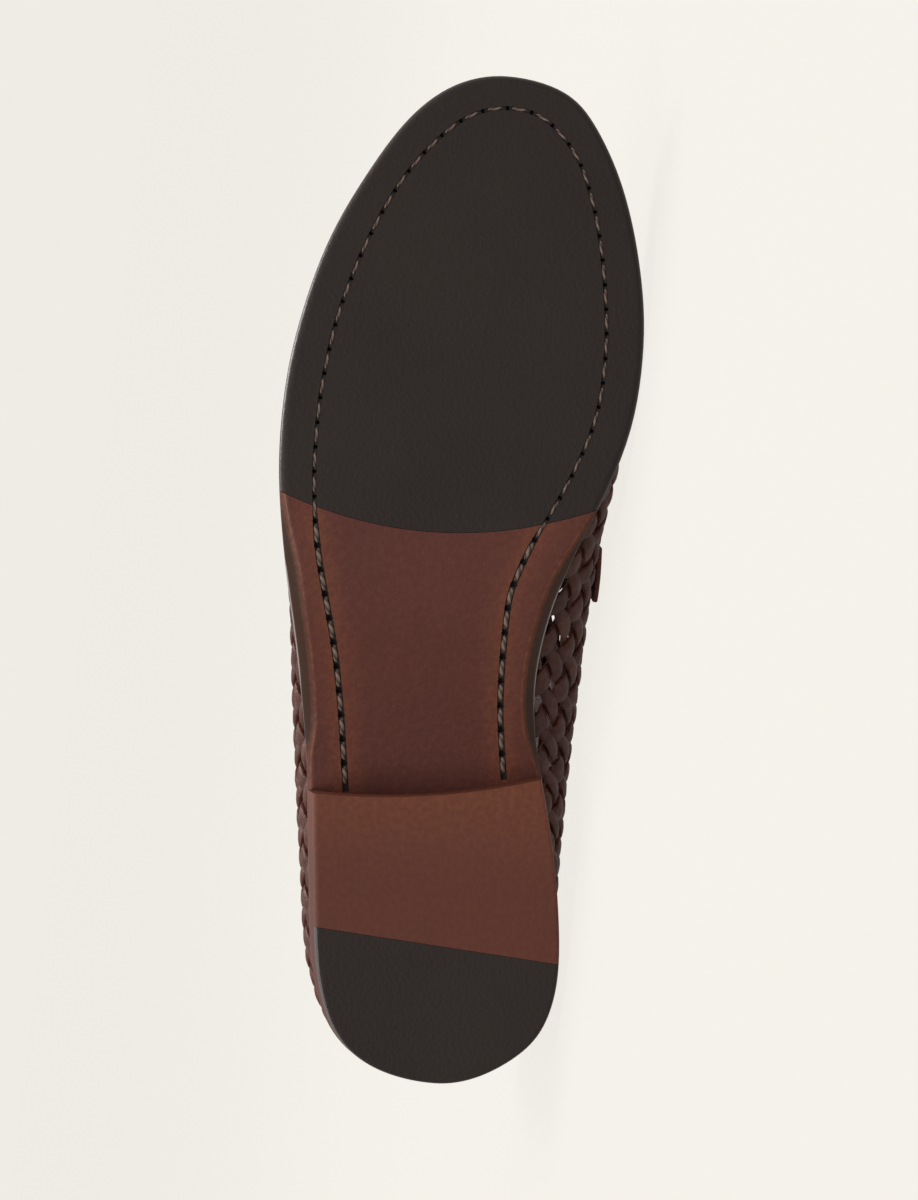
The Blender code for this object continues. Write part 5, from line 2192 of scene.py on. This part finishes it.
    def weave(self, name: str, strips: Sequence[np.ndarray | None]) -> None:
        """Lay, thicken and dress a set of strips as one piece.

        Args:
            name: the piece's name.
            strips: points of each strip.
        """
        bench = self.shop.bench
        chance = np.random.default_rng(len(strips))
        laid = []
        for i, points in enumerate(item for item in strips if item is not None):
            strip = bench.sheet(f"{name}_{i}", points)
            bench.mark(strip, "strip", float(chance.random()))
            laid.append(strip)
        piece = bench.join(name, laid)
        self.shop.finishes.dress(piece, "woven", "raw_edge")
        bench.thicken(piece, self.thickness)
        bench.round_edges(piece, self.edge, segments=1)
        bench.smooth(piece, SMOOTH_ANGLE)
        hand_over(piece, "woven_leather", "upper")

    def build(self) -> None:
        """Weave the wall and the apron, a piece for each slant."""
        count = self.shop.upper.count
        for slant in Slant:
            name = f"woven_wall_{slant.name.lower()}"
            self.weave(name, [self.wall_strip(float(start), slant) for start in range(0, count, 2)])
        for slant in Slant:
            name = f"woven_apron_{slant.name.lower()}"
            self.weave(name, [self.apron_strip(line, slant) for line in range(self.apron_lines)])


# Shares down the binding's width, up its front and down its back, and bulges of its front in millimetres
BINDING_FRONT = (1.0, 0.96, 0.80, 0.55, 0.30, 0.10, 0.0)
BINDING_BULGE = (-0.25, 0.0, 0.12, 0.15, 0.12, 0.05, -0.15)
BINDING_BACK = (0.0, 0.10, 0.30, 0.60, 0.90)


@dataclass
class Collar:
    """The binding and the rolled edge round the opening."""

    shop: Workshop
    face: float = 0.00105
    leather: float = 0.0008
    inside: float = -0.00225
    overlap: float = 0.15
    throat_overlap: float = 0.01
    stitch_from: float = 0.2
    throat_stitch_from: float = 0.06
    roll_seat: float = 0.0006
    leather_seat: float = 0.1
    wear: float = 0.3
    rows: int = 260
    throat_rows: int = 60
    stitch_points: int = 1500
    throat_points: int = 400
    roll_corners: int = 10
    roll_points: int = 520
    roll_sides: int = 14
    stitch_inset: float = 0.0013
    stitch_pitch: float = 0.0030

    def profile(self) -> tuple[np.ndarray, np.ndarray]:
        """Distances from the rim and lifts, over the binding's section from outside to inside.

        Returns:
            The distances and the lifts.
        """
        band = self.shop.sizes.collar_band
        down = np.array((*BINDING_FRONT, *BINDING_BACK)) * band
        lift = [self.face + bulge * MM for bulge in BINDING_BULGE] + [self.inside] * len(BINDING_BACK)
        return down, np.array(lift)

    def wall_binding(self) -> np.ndarray:
        """Rows of points of the binding round the heel and both sides.

        Returns:
            The points.
        """
        upper = self.shop.upper
        start, end = upper.inner_corner - self.overlap, upper.count + upper.outer_corner + self.overlap
        columns = np.linspace(start, end, self.rows)[:, None]
        down, lift = self.profile()
        return upper.wall(columns, upper.wall_length(columns) - down, lift)

    def throat_binding(self) -> np.ndarray:
        """Rows of points of the binding across the instep.

        Returns:
            The points.
        """
        upper = self.shop.upper
        x, y = upper.throat(np.linspace(-self.throat_overlap, 1.0 + self.throat_overlap, self.throat_rows))
        down, lift = self.profile()
        return upper.apron(x[:, None] + down, y[:, None], lift)[:, ::-1]

    def edge_stitches(self) -> list[Bead]:
        """Stitches just above the binding's lower edge.

        Returns:
            The stitches.
        """
        upper, band = self.shop.upper, self.shop.sizes.collar_band
        start = upper.inner_corner + self.stitch_from
        end = upper.count + upper.outer_corner - self.stitch_from
        columns = np.linspace(start, end, self.stitch_points)
        level, lift = band - self.stitch_inset, self.face + STITCH_SEAT
        wall = upper.wall(columns, upper.wall_length(columns) - level, lift)
        out = upper.wall_normal(columns, upper.wall_length(columns) - level)
        ends = self.throat_stitch_from, 1.0 - self.throat_stitch_from
        x, y = upper.throat(np.linspace(*ends, self.throat_points))
        front = upper.apron(x + level, y, lift)
        front_out = upper.apron_normal(x + level, y)
        return stitch_row(wall, out, self.stitch_pitch) + stitch_row(front, front_out, self.stitch_pitch)

    def rolled_edge(self) -> bpy.types.Object:
        """The piping that sits on the rim.

        Returns:
            The piping.
        """
        sizes, upper = self.shop.sizes, self.shop.upper
        columns = np.arange(upper.inner_corner + 1, upper.count + upper.outer_corner).astype(float)
        length = upper.wall_length(columns)
        normal = upper.wall_normal(columns, length)
        rise = unit(upper.wall(columns, length) - upper.wall(columns, length - sizes.weave_step / 2.0))
        rim = upper.wall(columns, length, self.roll_seat)
        x, y = upper.throat(np.linspace(0.0, 1.0, self.roll_corners))
        throat_normal = upper.apron_normal(x, y)
        run = np.column_stack((np.gradient(x), np.gradient(y), np.zeros(len(x))))
        back = unit(np.cross(throat_normal, unit(run)))
        back *= -np.sign(back[:, :1])
        room = np.ones(len(columns) + len(x))
        for i, side in ((0, Side.OUTER), (-1, Side.INNER)):
            lean = np.array((-1.0, -side.value, 1.0)) * sizes.corner_lean
            back[i] = unit(back[i] + lean)
        room[len(columns)] = room[-1] = sizes.corner_room
        rim = np.concatenate((rim, upper.apron(x, y, self.roll_seat)))
        normal = np.concatenate((normal, throat_normal))
        rise = np.concatenate((rise, back))
        height = sizes.piping_radius + self.leather * self.leather_seat
        centre = rim - normal * (sizes.wall / 2.0) + rise * height * room[:, None]
        seats = smooth_path(np.concatenate((centre, normal, rise), axis=1), self.roll_points, closed=True)
        line, normal, rise = np.split(seats, 3, axis=1)
        first, second = unit(rise) * sizes.piping_radius, unit(normal) * sizes.piping_radius
        return self.shop.bench.tube("rolled_edge", line, first, second, self.roll_sides, ring=True)

    def build(self) -> None:
        """Build and dress the collar."""
        bench, finishes = self.shop.bench, self.shop.finishes
        bindings = {"collar_binding": self.wall_binding(), "throat_binding": self.throat_binding()}
        for name, points in bindings.items():
            piece = bench.sheet(name, points[:, ::-1])
            bench.mark(piece, "strip", self.wear)
            finishes.dress(piece, "strap", "raw_edge")
            bench.thicken(piece, self.leather)
            bench.smooth(piece, SMOOTH_ANGLE)
            hand_over(piece, "strap_leather", "upper")
        roll = self.rolled_edge()
        bench.smooth(roll, ROUND_ANGLE)
        hand_over(finishes.dress(roll, "strap"), "strap_leather", "topline_piping")
        thread = bench.beads("collar_stitches", self.edge_stitches())
        hand_over(finishes.dress(thread, "upper_thread"), "strap_leather")


def stitch_row(line: np.ndarray, out: np.ndarray, pitch: float) -> list[Bead]:
    """Stitches along a fine line on a face.

    Args:
        line: points along the seam.
        out: directions out of the face.
        pitch: length of a stitch with its gap.

    Returns:
        The stitches.
    """
    reach = reach_along(line)
    run = unit(np.gradient(line, axis=0))
    beads = []
    for i in range(int(reach[-1] / pitch)):
        at = min(int(np.searchsorted(reach, (i + 0.5) * pitch)), len(line) - 1)
        side = unit(np.cross(out[at], run[at]))
        along = np.cross(side, out[at])
        beads.append(Bead(line[at], along, out[at], STITCH_HALF, STITCH_WIDTH, STITCH_DIP))
    return beads


@dataclass
class ApronSeam:
    """The raised seam round the toes, gathered with stitches that cross it."""

    shop: Workshop
    radius: float = 0.00150
    rise: float = 0.00020
    pitch: float = 0.0046
    stitch_half: float = 0.0023
    stitch_width: float = 0.00042
    stitch_seat: float = 0.86
    stitch_dip: float = 0.0015
    gather: float = 0.16
    points: int = 420
    sides: int = 12

    def line(self) -> tuple[np.ndarray, np.ndarray, np.ndarray]:
        """Points along the seam, directions out of the shoe and across the seam.

        Returns:
            The points and the two directions.
        """
        upper = self.shop.upper
        columns = np.linspace(upper.outer_corner, upper.inner_corner, self.points)
        length = upper.wall_length(columns)
        rim = upper.wall(columns, length)
        out = unit(upper.wall_normal(columns, length) + upper.apron_normal(rim[:, 0], rim[:, 1]))
        run = unit(np.gradient(rim, axis=0))
        out = unit(out - run * (out * run).sum(axis=1, keepdims=True))
        return rim + out * self.rise, out, np.cross(out, run)

    def build(self) -> None:
        """Build and dress the seam."""
        bench, finishes = self.shop.bench, self.shop.finishes
        line, out, across = self.line()
        reach = reach_along(line)
        pinch = 1.0 - self.gather * np.cos(2.0 * math.pi * reach / self.pitch)[:, None]
        first, second = out * self.radius * pinch, across * self.radius * pinch
        roll = bench.tube("apron_seam", line, first, second, self.sides, ring=False)
        bench.smooth(roll, ROUND_ANGLE)
        beads = []
        for i in range(1, int(reach[-1] / self.pitch)):
            at = int(np.searchsorted(reach, i * self.pitch))
            centre = line[at] + out[at] * self.radius * self.stitch_seat
            half, width = self.stitch_half, self.stitch_width
            beads.append(Bead(centre, across[at], out[at], half, width, self.stitch_dip))
        hand_over(finishes.dress(roll, "strap"), "strap_leather", "upper")
        thread = bench.beads("apron_stitches", beads)
        hand_over(finishes.dress(thread, "upper_thread"), "strap_leather")


@dataclass
class Saddle:
    """The plain strap across the instep."""

    shop: Workshop
    wall_rows: int = 14
    apron_rows: int = 34
    lines: int = 13
    crown: float = 0.00035
    rounding: float = 0.0004
    wear: float = 0.2
    near_from: float = 0.001
    near_to: float = 0.009
    rounds: int = 4
    fine_points: int = 1500
    bare_points: int = 30
    stitch_inset: float = 0.0020
    stitch_pitch: float = 0.0032

    def path(self, setback: float) -> tuple[np.ndarray, np.ndarray, np.ndarray]:
        """One line along the strap: points, directions out of the shoe and nearness to a seam.

        Args:
            setback: how far the line lies ahead of the strap's rear edge.

        Returns:
            The points, directions and nearness.
        """
        sizes, upper = self.shop.sizes, self.shop.upper
        rim_x = upper.throat_x + sizes.saddle_setback + setback
        level = np.linspace(sizes.saddle_drop, 1.0, self.wall_rows + 1)
        x = rim_x - sizes.saddle_slant * (1.0 - level) / (1.0 - sizes.saddle_drop)
        legs = {}
        for side in Side:
            column = upper.x_through(side, level, x)
            height = level * upper.wall_length(column)
            legs[side] = (upper.wall(column, height), upper.wall_normal(column, height))
        ends = [legs[side][0][-1, 1] for side in (Side.OUTER, Side.INNER)]
        y = np.linspace(ends[0], ends[1], self.apron_rows + 1)[1:-1]
        over = upper.apron(rim_x, y), upper.apron_normal(np.full(len(y), rim_x), y)
        points = np.concatenate((legs[Side.OUTER][0], over[0], legs[Side.INNER][0][::-1]))
        out = np.concatenate((legs[Side.OUTER][1], over[1], legs[Side.INNER][1][::-1]))
        for _ in range(self.rounds):
            out[1:-1] = unit(out[:-2] + 2.0 * out[1:-1] + out[2:])
        reach = reach_along(points)
        seams = (reach[self.wall_rows], reach[self.wall_rows + self.apron_rows])
        away = np.minimum.reduce([np.abs(reach - seam) for seam in seams])
        near = 1.0 - smoothstep(self.near_from, self.near_to, away)
        return points, out, near

    def surface(self) -> tuple[np.ndarray, np.ndarray]:
        """Outer face of the strap and directions out of it.

        Returns:
            The points and directions.
        """
        sizes = self.shop.sizes
        rows, outs = [], []
        for place in np.linspace(0.0, 1.0, self.lines):
            points, out, near = self.path(place * sizes.saddle_width)
            lift = sizes.saddle_lift + sizes.saddle_thickness + sizes.seam_rise * near
            crown = self.crown * (1.0 - (2.0 * place - 1.0) ** 2)
            rows.append(points + out * (lift + crown)[:, None])
            outs.append(out)
        return np.array(rows), np.array(outs)

    def build(self) -> None:
        """Build and dress the strap."""
        bench, finishes, sizes = self.shop.bench, self.shop.finishes, self.shop.sizes
        points, out = self.surface()
        piece = bench.sheet("saddle_strap", points)
        bench.mark(piece, "strip", self.wear)
        finishes.dress(piece, "strap", "raw_edge")
        bench.thicken(piece, sizes.saddle_thickness)
        bench.round_edges(piece, self.rounding, segments=2)
        bench.smooth(piece, SMOOTH_ANGLE)
        hand_over(piece, "strap_leather", "saddle")
        beads = []
        share = self.stitch_inset / sizes.saddle_width * (self.lines - 1)
        for place in (share, self.lines - 1 - share):
            low = int(place)
            line = points[low] + (points[low + 1] - points[low]) * (place - low)
            normals = unit(out[low] + (out[low + 1] - out[low]) * (place - low))
            fine = smooth_path(np.concatenate((line, normals), axis=1), self.fine_points)
            line, normals = np.split(fine[self.bare_points : -self.bare_points], 2, axis=1)
            beads += stitch_row(line + normals * STITCH_SEAT, unit(normals), self.stitch_pitch)
        thread = bench.beads("saddle_stitches", beads)
        hand_over(finishes.dress(thread, "upper_thread"), "strap_leather")


class Lamp(NamedTuple):
    """A square soft lamp: its name, place, size and power."""

    name: str
    place: tuple[float, float, float]
    size: float
    power: float


LAMPS = (
    Lamp("key", (-0.5, -1.5, 1.3), 0.9, 18.5),
    Lamp("top", (0.25, 0.35, 1.3), 0.6, 13.0),
    Lamp("fill", (1.3, -0.9, 0.6), 0.8, 4.0),
)


@dataclass
class Studio:
    """The pale floor and backdrop, the soft lights and the camera."""

    pose: LyingPose
    cream: tuple = shade(241, 238, 231)
    room_light: float = 0.42
    backdrop_glow: float = 0.98
    floor_glow: float = 0.95
    floor_colour: float = 0.07
    distance: float = 1.2
    picture_height: float = 0.3155
    picture_tilt: float = 4.26
    toward_outer: float = 3.0
    centre: tuple[float, float, float] = (0.1285, -0.0031, 0.0)
    lit: tuple[float, float, float] = (0.0, 0.0, 0.04)
    floor_size: float = 24.0
    backdrop_radius: float = 11.0
    backdrop_sides: int = 48
    backdrop_rings: int = 24
    sensor: float = 36.0

    def pale(self, name: str, colour: float, glow: float) -> bpy.types.Material:
        """A plain cream surface that also glows a little, so that its shadows stay soft.

        Args:
            name: the material's name.
            colour: share of cream that it reflects.
            glow: strength of its glow.

        Returns:
            The material.
        """
        material = bpy.data.materials.new(name)
        material.use_nodes = True
        shader = material.node_tree.nodes["Principled BSDF"]
        shader.inputs["Base Color"].default_value = tuple(part * colour for part in self.cream[:3]) + (1.0,)
        shader.inputs["Roughness"].default_value = 1.0
        shader.inputs["Specular IOR Level"].default_value = 0.0
        shader.inputs["Emission Color"].default_value = self.cream
        shader.inputs["Emission Strength"].default_value = glow
        return material

    def backdrop(self) -> None:
        """Lay a wide floor and hang a cream backdrop all round, far behind the lights."""
        bpy.ops.object.select_all(action="DESELECT")
        bpy.ops.mesh.primitive_plane_add(size=self.floor_size, location=(0.0, 0.0, 0.0))
        floor = bpy.context.object
        floor.name = floor.data.name = "floor"
        floor.data.materials.append(self.pale("pale_floor", self.floor_colour, self.floor_glow))
        bpy.ops.mesh.primitive_uv_sphere_add(
            segments=self.backdrop_sides, ring_count=self.backdrop_rings, radius=self.backdrop_radius
        )
        wall = bpy.context.object
        wall.name = wall.data.name = "backdrop"
        wall.data.materials.append(self.pale("pale_backdrop", 0.0, self.backdrop_glow))
        for piece in (floor, wall):
            piece.visible_diffuse = False
            piece.visible_glossy = False
        wall.visible_shadow = False
        world = bpy.context.scene.world or bpy.data.worlds.new("studio")
        bpy.context.scene.world = world
        world.use_nodes = True
        world.node_tree.nodes["Background"].inputs["Color"].default_value = self.cream
        world.node_tree.nodes["Background"].inputs["Strength"].default_value = self.room_light
        bpy.context.scene.view_settings.view_transform = "Standard"

    def light(self, plan: Lamp) -> None:
        """Hang a lamp so that it faces the shoe.

        Args:
            plan: the lamp's name, place, size and power.
        """
        bpy.ops.object.light_add(type="AREA", location=plan.place)
        lamp = bpy.context.object
        lamp.name = plan.name
        lamp.data.shape = "SQUARE"
        lamp.data.size = plan.size
        lamp.data.energy = plan.power
        toward = Vector(self.lit) - Vector(lamp.location)
        lamp.rotation_euler = toward.to_track_quat("-Z", "Y").to_euler()

    def camera(self) -> None:
        """Look at the sole as the photograph does."""
        lean = math.radians(self.toward_outer)
        tilt = math.radians(self.picture_tilt)
        view = self.pose.direction((0.0, math.sin(lean), math.cos(lean)))
        toe = self.pose.direction((1.0, 0.0, 0.0))
        inner = view.cross(toe)
        up = toe * math.cos(tilt) - inner * math.sin(tilt)
        right = toe * math.sin(tilt) + inner * math.cos(tilt)
        target = Vector(self.pose.lay(np.array(self.centre)))
        bpy.ops.object.camera_add()
        camera = bpy.context.object
        camera.name = "camera"
        place = target - view * self.distance
        camera.matrix_world = Matrix.Translation(place) @ Matrix((right, up, -view)).transposed().to_4x4()
        camera.data.sensor_width = self.sensor
        camera.data.lens = self.sensor / (self.picture_height / self.distance)
        bpy.context.scene.camera = camera

    def build(self) -> None:
        """Set up the floor, the lights and the camera."""
        self.backdrop()
        for plan in LAMPS:
            self.light(plan)
        self.camera()


def main() -> None:
    """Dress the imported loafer."""
    logging.basicConfig(level=logging.INFO, format="%(name)s %(message)s")
    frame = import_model()
    pose = LyingPose(frame["record"])
    sizes = ShoeSizes()
    sole = SoleShape(sizes)
    shop = Workshop(sizes, sole, UpperShape(sizes, sole), Bench(pose), Finishes(pose))
    Studio(pose).build()
    for assembly in (Sole, Heel, Footbed, Weave, Collar, ApronSeam, Saddle):
        LOG.info("building %s", assembly.__name__)
        assembly(shop).build()


if __name__ == "__main__":
    main()
